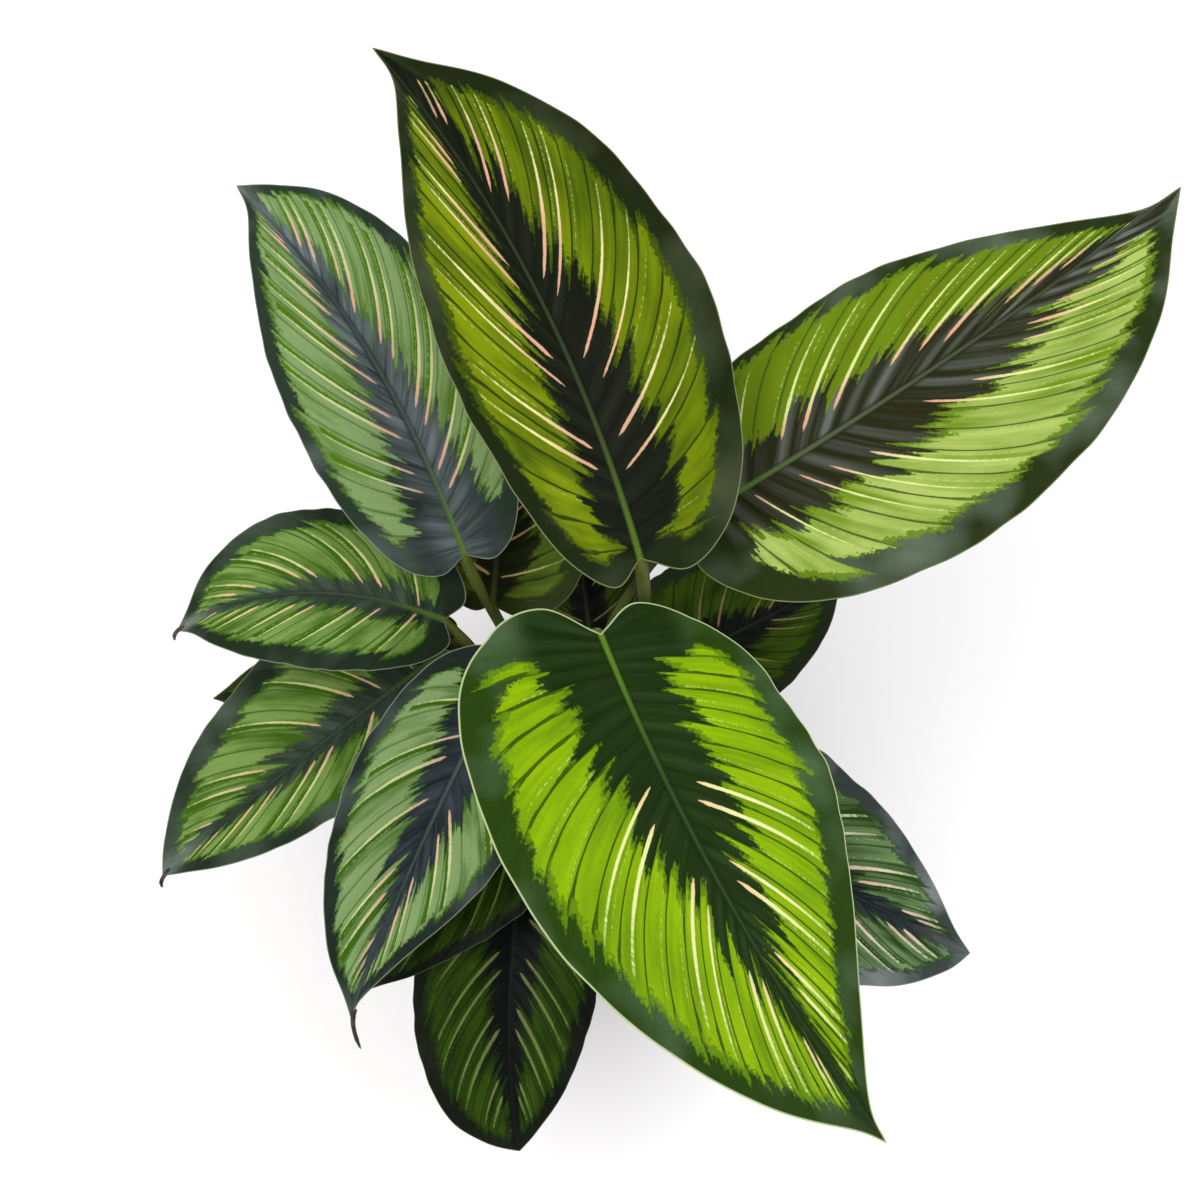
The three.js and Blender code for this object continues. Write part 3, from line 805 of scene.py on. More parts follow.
def dress(name: str, mesh: bpy.types.Mesh, slot: str, *replaced: str) -> None:
    """Puts a finished mesh into the scene as a piece that rides on the plant's one body.

    Args:
        name: The piece's name.
        mesh: Its mesh, in place.
        slot: Not used.
        *replaced: The CAD nodes that it stands for.
    """
    piece = placed(name, mesh)
    mesh.name = name
    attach(piece, BODY)
    if replaced:
        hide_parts(*replaced)
    log.info("%s: %d faces", name, len(mesh.polygons))


def turned_mesh(name: str, profile: Sequence[tuple[float, float]], sides: int) -> bpy.types.Mesh:
    """Turns a profile about Z.

    Args:
        name: The mesh's name.
        profile: Radius and height pairs in millimetres that start and end on the axis.
        sides: How many faces go round.

    Returns:
        A closed mesh in metres, its faces outward.
    """
    shape = bmesh.new()
    rings = []
    for k in range(sides):
        turn = 2 * math.pi * k / sides
        rings.append([
            shape.verts.new((r * MM * math.cos(turn), r * MM * math.sin(turn), z * MM))
            for r, z in profile
        ])
    for last, ring in zip(rings, rings[1:] + rings[:1]):
        for i in range(len(ring) - 1):
            shape.faces.new((last[i], ring[i], ring[i + 1], last[i + 1]))
    shape.verts.index_update()
    bmesh.ops.remove_doubles(shape, verts=shape.verts, dist=1e-6)
    bmesh.ops.recalc_face_normals(shape, faces=shape.faces)
    return from_shape(shape, name)


class GeometryTree(NodeTree):
    """A geometry node tree with named inputs, run once on an object to make a plain mesh."""

    def __init__(self, name: str, inputs: Mapping[str, float]) -> None:
        """Starts a tree.

        Args:
            name: Its name.
            inputs: Its named sizes in metres or plain numbers, with their defaults.
        """
        super().__init__(bpy.data.node_groups.new(name, "GeometryNodeTree"))
        face = self.tree.interface
        face.new_socket("Geometry", in_out="INPUT", socket_type="NodeSocketGeometry")
        for label, value in inputs.items():
            kind = "NodeSocketInt" if isinstance(value, int) else "NodeSocketFloat"
            face.new_socket(label, in_out="INPUT", socket_type=kind).default_value = value
        face.new_socket("Material", in_out="INPUT", socket_type="NodeSocketMaterial")
        face.new_socket("Geometry", in_out="OUTPUT", socket_type="NodeSocketGeometry")
        self.given = self.node("NodeGroupInput").outputs

    def along(self) -> Num:
        """The share of a curve's length at each of its points."""
        return Num(self, self.node("GeometryNodeSplineParameter").outputs["Factor"])

    def sweep(self, curve: object, radius: Num, sides: object, size: float) -> bpy.types.Node:
        """Makes a closed solid with a round section along a curve.

        Args:
            curve: The curve that it follows.
            radius: How many times the section's size it is at each point.
            sides: How many faces go round.
            size: The section's radius.

        Returns:
            The node that gives the solid.
        """
        way, section = {"Curve": curve, "Radius": radius}, {"Resolution": sides, "Radius": size}
        return self.node("GeometryNodeCurveToMesh", {}, {
            "Curve": self.node("GeometryNodeSetCurveRadius", {}, way),
            "Profile Curve": self.node("GeometryNodeCurvePrimitiveCircle", {}, section),
            "Scale": self.node("GeometryNodeInputRadius"),
            "Fill Caps": True,
        })

    def end(self, geometry: bpy.types.Node) -> "GeometryTree":
        """Ends the tree in real smooth faces with the given material.

        Args:
            geometry: The node that gives what the tree has made.

        Returns:
            The tree itself.
        """
        real = self.node("GeometryNodeRealizeInstances", {}, {0: geometry})
        smooth = self.node("GeometryNodeSetShadeSmooth", {}, {0: real})
        clad = {"Geometry": smooth, "Material": self.given["Material"]}
        self.node("NodeGroupOutput", {}, {0: self.node("GeometryNodeSetMaterial", {}, clad)})
        return self

    def run(
        self, start: bpy.types.ID, material: bpy.types.Material, values: Mapping[str, float]
    ) -> bpy.types.Mesh:
        """Runs the tree on a curve or mesh.

        Args:
            start: The curve or mesh that it works on.
            material: What the result is made of.
            values: Its named sizes, where they differ from the defaults.

        Returns:
            The plain mesh that it makes.
        """
        holder = placed("holder", start)
        modifier = holder.modifiers.new("shape", "NODES")
        modifier.node_group = self.tree
        keys = {
            item.name: item.identifier
            for item in self.tree.interface.items_tree
            if item.in_out == "INPUT"
        }
        for label, value in {**values, "Material": material}.items():
            modifier[keys[label]] = value
        bpy.context.view_layer.update()
        return as_mesh(holder)


RADII = ("Foot", "Neck", "Joint", "End")  # sizes of a stalk, in order along it


def tube_tree() -> GeometryTree:
    """A tree that makes a stalk along a curve: thick foot, slim neck, swollen joint.

    Returns:
        The tree, whose inputs are four radii from the foot to the end, the share at which
        the joint has swollen and the number of sides.
    """
    made = GeometryTree("stalk_along_curve", {
        "Foot": 0.0025, "Neck": 0.00155, "Joint": 0.00195, "End": 0.0012, "Swell": 0.86,
        "Sides": 20,
    })
    foot, neck, joint, end, swell = (Num(made, made.given[k]) for k in (*RADII, "Swell"))
    along = made.along()
    radius = (
        along.rise(0.05, 0.55, foot, neck)
        + along.rise(swell - 0.06, swell, 0.0, joint - neck)
        + along.rise(0.955, 1.0, 0.0, end - joint)
    )
    marked = made.node(
        "GeometryNodeStoreNamedAttribute",
        {"data_type": "FLOAT", "domain": "POINT"},
        {"Geometry": made.given["Geometry"], "Name": ALONG, "Value": along},
    )
    return made.end(made.sweep(marked, radius, made.given["Sides"], 1.0))


LEAN, FULL_TURN = 0.5, 6.28  # how far, in radians, a crumb leans and turns
DENTS = 700.0  # how many dents there are, to the metre


def crumb_tree() -> GeometryTree:
    """A tree that strews crumbs over a surface, each turned, sized and dented by chance.

    Returns:
        The tree, whose inputs are the number of crumbs to the square metre, their smallest
        and largest size, their flatness, how deep the dents are, and the seed.
    """
    made = GeometryTree("strewn_crumbs", {
        "Density": 60000.0, "Small": 0.0012, "Large": 0.003, "Flat": 0.6, "Dent": 0.0006,
        "Seed": 1,
    })
    given = made.given
    seed = {"Seed": given["Seed"]}
    points = made.node(
        "GeometryNodeDistributePointsOnFaces",
        {},
        {"Mesh": given["Geometry"], "Density": given["Density"], **seed},
    )
    ball = made.node("GeometryNodeMeshIcoSphere", {}, {"Radius": 1.0, "Subdivisions": 2})
    flat = {"Geometry": ball, "Scale": made.vector(1.0, 0.75, given["Flat"])}
    size = made.node(
        "FunctionNodeRandomValue",
        {"data_type": "FLOAT"},
        {2: given["Small"], 3: given["Large"], **seed},
    )
    turn = made.node(
        "FunctionNodeRandomValue",
        {"data_type": "FLOAT_VECTOR"},
        {0: (-LEAN, -LEAN, 0.0), 1: (LEAN, LEAN, FULL_TURN), **seed},
    )
    strewn = made.node("GeometryNodeInstanceOnPoints", {}, {
        "Points": points, "Instance": made.node("GeometryNodeTransform", {}, flat),
        "Rotation": turn.outputs["Value"], "Scale": size.outputs[1],
    })
    place = made.node("GeometryNodeInputPosition")
    rough = made.node("ShaderNodeTexNoise", {}, {"Vector": place, "Scale": DENTS})
    middle = made.node(
        "ShaderNodeVectorMath",
        {"operation": "SUBTRACT"},
        {0: rough.outputs["Color"], 1: (0.5, 0.5, 0.5)},
    )
    return made.end(made.node("GeometryNodeSetPosition", {}, {
        "Geometry": made.node("GeometryNodeRealizeInstances", {}, {0: strewn}),
        "Offset": made.scaled(middle, given["Dent"]),
    }))


def rib_tree() -> GeometryTree:
    """A tree that sets upright grip ribs in a ring, leaning with the pot's wall.

    Returns:
        The tree, whose inputs are the ring's radius and height, the ribs' number, length,
        width and lean.
    """
    made = GeometryTree("ring_of_ribs", {
        "Radius": 0.05, "Height": 0.076, "Count": 36, "Length": 0.009, "Width": 0.0016,
        "Lean": 0.16,
    })
    given = made.given
    ring = made.node(
        "GeometryNodeMeshCircle", {}, {"Vertices": given["Count"], "Radius": given["Radius"]}
    )
    lifted = {"Geometry": ring, "Translation": made.vector(z=given["Height"])}
    bar = made.node(
        "GeometryNodeCurvePrimitiveLine", {}, {"Start": (0.0, 0.0, -0.5), "End": (0.0, 0.0, 0.5)}
    )
    steps = made.node("GeometryNodeResampleCurve", {}, {"Curve": bar, "Count": 9})
    to_end = made.number("ShaderNodeMath", {"operation": "PINGPONG"}, {0: made.along(), 1: 0.5})
    rib = made.node("GeometryNodeTransform", {}, {
        "Geometry": made.sweep(steps, to_end.rise(0.0, 0.12, 0.2, 1.0), 8, 0.5),
        "Scale": made.vector(given["Width"], given["Width"], given["Length"]),
        "Rotation": made.vector(y=given["Lean"]),
    })
    x, y, _ = made.parts(made.node("GeometryNodeInputPosition"))
    angle = made.number("ShaderNodeMath", {"operation": "ARCTAN2"}, {0: y, 1: x})
    return made.end(made.node("GeometryNodeInstanceOnPoints", {}, {
        "Points": made.node("GeometryNodeTransform", {}, lifted),
        "Instance": rib, "Rotation": made.vector(z=angle),
    }))


# ---------------------------------------------------------------- leaves
OUTLINE = (
    (0, 0), (-0.03, 0.3), (0.025, 0.66), (0.16, 0.92), (0.36, 1), (0.58, 0.87),
    (0.78, 0.55), (0.92, 0.185), (1, 0),
)  # half outline: share of the length, share of the half width
SHOULDER = (0, 0, 0.3, 0.8, 1, 0.8, 0.4, 0, 0)  # how far each point follows a leaf's shoulder
EASE = 0.12  # share over which waves and swells grow from nothing
SLIM_FROM = 5  # the point from which a leaf's tip is slimmer or fuller
NEAR_RIB = (0, 0.004, 0.009, 0.015, 0.023, 0.034, 0.05, 0.07, 0.095)  # columns by the midrib
NEAR_RIM = (0.972, 0.986, 0.995, 1)  # and by the margin, as shares of the vein
MAP_GAP = 0.01  # the gaps in the bake map
RIM_STRIP = 0.004  # and the height that a blade's edge has there
TINY = 1e-9
STRAY = ((3.1, 1, 1), (7.3, 1.7, 0.7), (13.7, 2.9, 0.4))  # small waves: number, turn, height
RIPPLES, RIPPLE_TURN = 2.7, 1.9  # ripples to each wave of the margin, and how they begin
HALF_TURN = 0.37  # the left half's waves begin so much of a wave away from the right's
MEAN_SWELL = 0.64


@dataclass(frozen=True)
class LeafPlan:
    """One leaf's driving values, in millimetres and degrees, pairs for right and left."""

    name: str
    base: Triple  # where the blade joins its stalk
    tip: Triple
    right: float  # half width
    left: float
    bow: float  # how far the midrib swings to its right
    rise: float  # and how high it arches
    roll: float  # turn about the line from base to tip
    fold: float  # how steeply the halves rise from the midrib
    slim: tuple[float, float]  # power that thins the outline towards the tip
    shoulder: tuple[float, float]  # how far the widest place moves towards the tip
    lobe: float  # size of the lobes beside the stalk
    wave: float  # height of the margin's waves
    waves: float  # their number
    phase: float  # and where they begin
    curl: float  # how far the tip turns down
    root: tuple[float, float]  # where the stalk leaves the mix
    thick: float  # thickness of the stalk, as a share of the usual one
    pull1: Triple  # what the stalk's line leans to, first
    pull2: Triple  # and then
    tone: LeafTone
    veins: int
    hook: Triple | None = None  # a drawn-out point beyond the tip


def kept(values: np.ndarray) -> np.ndarray:
    """The values kept between nought and one."""
    return np.clip(values, 0, 1)


def unit(v: np.ndarray) -> np.ndarray:
    """Vectors of length one in the same directions."""
    return v / np.linalg.norm(v, axis=-1, keepdims=True)


def through(pairs: np.ndarray, share: np.ndarray) -> np.ndarray:
    """Reads a smooth curve through points.

    Args:
        pairs: The points, one a row.
        share: Where to read, as shares of the number of points.

    Returns:
        One point for each share.
    """
    last = len(pairs) - 1
    spread = np.vstack([2 * pairs[0] - pairs[1], pairs, 2 * pairs[-1] - pairs[-2]])
    at = kept(share) * last
    i = np.minimum(at.astype(int), last - 1)
    f = (at - i)[..., None]
    p0, p1, p2, p3 = (spread[i + k] for k in range(4))
    square, cube = (2 * p0 - 5 * p1 + 4 * p2 - p3) / 2, (3 * p1 - p0 - 3 * p2 + p3) / 2
    return p1 + f * ((p2 - p0) / 2 + f * (square + f * cube))


def bezier(corners: Sequence[np.ndarray], count: int) -> np.ndarray:
    """Reads a curve that starts at its first corner, ends at its last and leans to the rest.

    Args:
        corners: Its corners.
        count: How many points to read.

    Returns:
        The points, one a row.
    """
    t, order = np.linspace(0, 1, count)[:, None], len(corners) - 1
    return sum(
        math.comb(order, k) * (1 - t) ** (order - k) * t**k * np.asarray(corner, float)
        for k, corner in enumerate(corners)
    )


def to_border(points: np.ndarray, line: np.ndarray) -> np.ndarray:
    """Measures how far points are from a line of straight pieces.

    Args:
        points: Flat places, in any grid.
        line: The corners of the line.

    Returns:
        The distances, in the points' grid.
    """
    flat = points.reshape(-1, 1, 2).astype(np.float32)
    first, way = line[None, :-1].astype(np.float32), np.diff(line, axis=0)[None].astype(np.float32)
    share = kept(((flat - first) * way).sum(-1) / np.maximum((way**2).sum(-1), TINY))
    near = np.linalg.norm(flat - first - way * share[..., None], axis=-1).min(1)
    return near.reshape(points.shape[:-1])


def curve_of(path: np.ndarray) -> bpy.types.Curve:
    """Makes an open curve.

    Args:
        path: Its points in millimetres, one a row.

    Returns:
        The curve, in metres.
    """
    line = bpy.data.curves.new("path", "CURVE")
    line.dimensions = "3D"
    spline = line.splines.new("POLY")
    spline.points.add(len(path) - 1)
    places = np.hstack([path * MM, np.ones((len(path), 1))])
    spline.points.foreach_set("co", places.ravel().astype(np.float32))
    return line


@dataclass
class Leaf:
    """A blade and the stalk that carries it; sizes in millimetres."""

    plan: LeafPlan
    rows: int = 176
    columns: int = 22  # between those by the midrib and by the margin
    edge: float = 0.42  # thickness of the blade
    keel: float = 2.2  # thickness at the midrib by the stalk
    keel_tip: float = 0.9  # and by the tip
    thinning: float = 0.8  # width of the margin over which the blade thins
    thin: float = 0.45  # to this share of its thickness
    pleat: float = 0.13  # height of the swell between two veins
    cup: float = 8  # how far a half bulges between the midrib and the margin
    ridge: float = 0.35  # height of the midrib's bead
    ridge_width: float = 1.1  # and its half width
    ripple: float = 0.35  # height of the margin's small waves
    lean: float = 0.43  # how far a vein first runs forward
    spread: float = 0.77  # how far it first runs outward
    start: float = 1.3  # crowding of the veins at the midrib towards the stalk
    sweep: float = 0.45  # how soon their ends move up the margin
    nick: float = 0.45  # how far the margin strays in small uneven waves
    foot: float = 70.0  # height of the stalk's foot
    under: float = 1.2  # how far its end is under the midrib
    reach: float = 4.0  # and how far its tip then runs into the midrib
    radii: tuple[float, ...] = (2.5, 1.55, 1.95, 0.9)  # of the stalk, from its foot to its end
    point_radii: tuple[float, ...] = (0.9, 0.7, 0.45, 0.15)  # of a drawn-out point
    axis: np.ndarray = field(init=False)
    normal: np.ndarray = field(init=False)
    right: np.ndarray = field(init=False)
    length: float = field(init=False)

    def __post_init__(self) -> None:
        """Sets the blade's fixed directions: from stalk to tip, upward and to its right."""
        base, tip = np.array(self.plan.base, float), np.array(self.plan.tip, float)
        self.length = float(np.linalg.norm(tip - base))
        self.axis = (tip - base) / self.length
        up = np.array((0.0, 0.0, 1.0))
        level = unit(up - self.axis * (up @ self.axis))
        roll = math.radians(self.plan.roll)
        self.normal = level * math.cos(roll) + np.cross(self.axis, level) * math.sin(roll)
        self.right = np.cross(self.axis, self.normal)

    def midrib(self, t: np.ndarray | float) -> np.ndarray:
        """Follows the midrib.

        Args:
            t: Shares of its length.

        Returns:
            Its points there.
        """
        t = np.asarray(t, float)[..., None]
        arch = 4 * t * (1 - t)
        drop = self.plan.curl * np.maximum(0, (t - 0.8) / 0.2) ** 2
        return (
            np.array(self.plan.base) + self.axis * self.length * t
            + self.normal * (self.plan.rise * arch - drop) + self.right * self.plan.bow * arch
        )

    def midrib_frame(self, t: np.ndarray | float) -> tuple[np.ndarray, np.ndarray, np.ndarray]:
        """Finds how the blade lies along the midrib.

        Args:
            t: Shares of the midrib's length.

        Returns:
            The directions of the midrib, of its right side and of the blade's upper face.
        """
        along = unit(self.midrib(t + 1e-3) - self.midrib(t - 1e-3))
        right = unit(np.cross(along, self.normal))
        return along, right, np.cross(right, along)

    def flat(self, u: np.ndarray, s: np.ndarray, half: int) -> tuple[np.ndarray, np.ndarray]:
        """Lays a half blade flat.

        Args:
            u: Which vein, as a share of all.
            s: Share of the vein from the midrib.
            half: 0 for the right half and 1 for the left.

        Returns:
            Share of the blade's length and share of its half width.
        """
        outline = np.array(OUTLINE, float)
        outline[:, 0] += self.plan.shoulder[half] * np.array(SHOULDER)
        outline[SLIM_FROM:, 1] **= self.plan.slim[half]
        start = u**self.start
        end = through(outline, u**self.sweep)
        end_x = np.where(end[..., 0] < 0, end[..., 0] * self.plan.lobe, end[..., 0])
        mid_x = start + self.lean * (end_x - start)
        a, b, c = (1 - s) ** 2, 2 * s * (1 - s), s * s
        return a * start + b * mid_x + c * end_x, (b * self.spread + c) * end[..., 1]

    def stray(self, x: np.ndarray, half: int, turn: float) -> np.ndarray:
        """Makes uneven waves along the margin.

        Args:
            x: Share of the blade's length.
            half: 0 for the right half and 1 for the left.
            turn: Gives other waves for the same place.

        Returns:
            How far the margin strays, between about minus one and one.
        """
        at = 2 * np.pi * x
        key = self.plan.phase * 7 + self.plan.base[0] + half * 2.3 + turn
        waves = sum(np.sin(at * count + key * moved) * high for count, moved, high in STRAY)
        return waves * kept(np.minimum(x, 1 - x) / EASE) * 0.6

    def upper(self, u: np.ndarray, s: np.ndarray, half: int) -> tuple[np.ndarray, ...]:
        """Places points of the upper face.

        Args:
            u: Which vein, as a share of all.
            s: Share of the vein from the midrib.
            half: 0 for the right half and 1 for the left.

        Returns:
            The points, their normals, the share of the blade's length, and how far to the
            right of the midrib they are in the flat blade.
        """
        plan, sign = self.plan, 1 - 2 * half
        x, q = self.flat(u, s, half)
        y = q * (plan.left if half else plan.right) + self.stray(x, half, 0) * self.nick * q**3
        fold = math.radians(plan.fold)
        wave = np.sin(2 * np.pi * (plan.waves * x + plan.phase + HALF_TURN * half)) * q * q
        turn = RIPPLES * plan.waves * x + RIPPLE_TURN * plan.phase
        ripple = np.sin(2 * np.pi * turn) * q**4
        swell = np.abs(np.sin(np.pi * u * plan.veins)) - MEAN_SWELL
        fade = kept(s / EASE) * kept((1 - s) / EASE) * kept((1 - u) / 0.3)
        lift = (
            y * math.sin(fold) + self.cup * q * (1 - q) + plan.wave * wave
            + ripple * self.ripple + swell * fade * self.pleat
            + self.ridge * (1 - u) * np.exp(-((y / self.ridge_width) ** 2))
            + self.stray(x, half, 1.9) * self.nick * q**4
        )
        _, right, normal = self.midrib_frame(x)
        across = right * (sign * y * math.cos(fold))[..., None]
        return self.midrib(x) + across + normal * lift[..., None], normal, x, y * sign

    def blade_mesh(self) -> bpy.types.Mesh:
        """Builds the closed blade with its vein map, bake map and distances.

        Returns:
            The mesh; its first material slot is for the upper face and the edge, its second
            for the underside.
        """
        station = np.concatenate([NEAR_RIB, np.linspace(0.125, 0.95, self.columns), NEAR_RIM])
        u = np.linspace(0, 1, self.rows + 1) ** 1.5
        halves = [
            self.upper(*np.meshgrid(u, stations, indexing="ij"), half)
            for half, stations in ((1, station[:0:-1]), (0, station))
        ]
        place, normal, x, y = (np.concatenate(pair, axis=1) for pair in zip(*halves))
        flat = np.stack([x * self.length, y], -1)
        # Distances that the skin reads: between veins, to the midrib and to the margin.
        du, way = np.gradient(flat, u, axis=0) / self.plan.veins, np.gradient(flat, axis=1)
        way = way / np.maximum(np.linalg.norm(way, axis=-1, keepdims=True), TINY)
        pitch = np.abs(du[..., 0] * way[..., 1] - du[..., 1] * way[..., 0])
        rim = to_border(flat, np.concatenate([flat[:, 0], flat[::-1, -1]]))
        reach = kept(1 - x)
        rib = self.keel_tip + (self.keel - self.keel_tip) * reach
        thick = self.edge + (rib - self.edge) * np.exp(-((y / (0.7 + reach)) ** 2))
        thick = thick * (self.thin + (1 - self.thin) * kept(rim / self.thinning))
        signed = np.concatenate([-station[:0:-1], station])
        veins = np.stack(np.meshgrid(u, 0.5 + 0.5 * signed, indexing="ij"), -1)
        numbers = {PITCH: pitch, RIB: np.abs(y), RIM: rim}
        return self.closed(place, place - normal * thick[..., None], veins, flat, numbers)

    def closed(
        self,
        over: np.ndarray,
        under: np.ndarray,
        veins: np.ndarray,
        flat: np.ndarray,
        numbers: Mapping[str, np.ndarray],
    ) -> bpy.types.Mesh:
        """Joins the two faces of a blade along its margin and maps them.

        Args:
            over: Points of the upper face, by row and column, in millimetres.
            under: Points of the underside.
            veins: The vein map's places, by row and column.
            flat: Flat places, for the bake map.
            numbers: What each point keeps for the skin.

        Returns:
            The closed mesh in metres.
        """
        rows, columns = over.shape[:2]
        count = rows * columns
        index = np.arange(count).reshape(rows, columns)
        quads = (index[:-1, :-1], index[1:, :-1], index[1:, 1:], index[:-1, 1:])
        top = np.stack([corner.ravel() for corner in quads], -1)
        left, right = index[:, 0], index[:, -1]
        strips = [
            np.stack([left[1:], left[:-1], left[:-1] + count, left[1:] + count], -1),
            np.stack([right[:-1], right[1:], right[1:] + count, right[:-1] + count], -1),
        ]
        faces = np.concatenate([top, *strips, top[:, ::-1] + count])
        mesh = bpy.data.meshes.new(self.plan.name)
        points = np.concatenate([over.reshape(-1, 3), under.reshape(-1, 3)]) * MM
        mesh.from_pydata(points.tolist(), [], faces.tolist())
        # The bake map: the upper face, the underside at half its scale above it, and the edge.
        flat = flat.reshape(-1, 2) - flat.reshape(-1, 2).min(0)
        size = flat.max(0)
        scale = min((1 - 2 * MAP_GAP) / size[0], (1 - 4 * MAP_GAP) / (1.5 * size[1]))
        front = flat * scale + MAP_GAP
        back = flat * scale * 0.5 + (MAP_GAP, size[1] * scale + 3 * MAP_GAP)
        bake = np.concatenate([front, back])[faces]
        strip = slice(len(top), len(top) + 2 * (rows - 1))
        push = np.repeat((-RIM_STRIP, RIM_STRIP), rows - 1)[:, None] * (faces[strip] >= count)
        bake[strip] = front[faces[strip] % count]
        bake[strip, :, 1] += push
        vein = np.concatenate([veins.reshape(-1, 2)] * 2)[faces]
        for name, values in ((VEIN_MAP, vein), (BAKE_MAP, bake)):
            layer = mesh.uv_layers.new(name=name)
            layer.data.foreach_set("uv", values.ravel().astype(np.float32))
        for name, values in numbers.items():
            layer = mesh.attributes.new(name, "FLOAT", "POINT")
            layer.data.foreach_set("value", np.tile(values.ravel(), 2).astype(np.float32))
        is_under = np.arange(len(faces)) >= strip.stop
        mesh.polygons.foreach_set("material_index", is_under.astype(np.int32))
        mesh.polygons.foreach_set("use_smooth", np.ones(len(faces), bool))
        shape = bmesh.new()
        shape.from_mesh(mesh)
        bmesh.ops.remove_doubles(shape, verts=shape.verts, dist=1e-7)
        bmesh.ops.dissolve_degenerate(shape, edges=shape.edges, dist=1e-8)
        if shape.calc_volume(signed=True) < 0:
            bmesh.ops.reverse_faces(shape, faces=shape.faces)
        shape.to_mesh(mesh)
        shape.free()
        return mesh

    def stalk_path(self) -> np.ndarray:
        """Draws the stalk's line.

        Returns:
            Its points from the soil to just inside the blade, in millimetres.
        """
        plan = self.plan
        along, _, normal = self.midrib_frame(0.0)
        end = np.array(plan.base) - normal * self.under - along * 0.2
        inside = end + along * self.reach + normal * 0.3
        path = bezier([(*plan.root, self.foot), plan.pull1, plan.pull2, end], 60)
        return np.vstack([path, (end + inside) / 2, inside])

    def point_path(self) -> np.ndarray:
        """Draws the line of a drawn-out point.

        Returns:
            Its points from inside the tip outward, in millimetres.
        """
        tip = self.midrib(1.0) - self.normal * 0.3
        inward = self.midrib(0.965) - self.normal * 0.5
        return bezier([inward, tip + self.axis * 2, tip + np.array(self.plan.hook, float)], 16)

    def build(
        self,
        stalks: GeometryTree,
        under: bpy.types.Material,
        bark: bpy.types.Material,
        withered: bpy.types.Material,
    ) -> None:
        """Makes the blade, the stalk and the drawn-out point.

        Args:
            stalks: The tree that makes a stalk along a curve.
            under: The underside's material.
            bark: The stalk's material.
            withered: The dark material of a drawn-out point.
        """
        plan = self.plan
        seed = float(sum(map(ord, plan.name)) % 97)
        widths = (plan.right, plan.left)
        upper = BladeSkin(plan.name, plan.tone.value, plan.veins, widths, seed).material()
        mesh = self.blade_mesh()
        for material in (upper, under):
            mesh.materials.append(material)
        dress(f"{plan.name}_leaf", mesh, "leaf_blade", f"{plan.name}_blade")
        sizes = {label: r * plan.thick * MM for label, r in zip(RADII, self.radii)}
        stem = stalks.run(curve_of(self.stalk_path()), bark, sizes)
        dress(f"{plan.name}_stem", stem, "leaf_stalk", f"{plan.name}_stalk")
        if plan.hook:
            sizes = {label: r * MM for label, r in zip(RADII, self.point_radii)}
            point = stalks.run(curve_of(self.point_path()), withered, {**sizes, "Sides": 10})
            dress(f"{plan.name}_point", point, "leaf_blade")


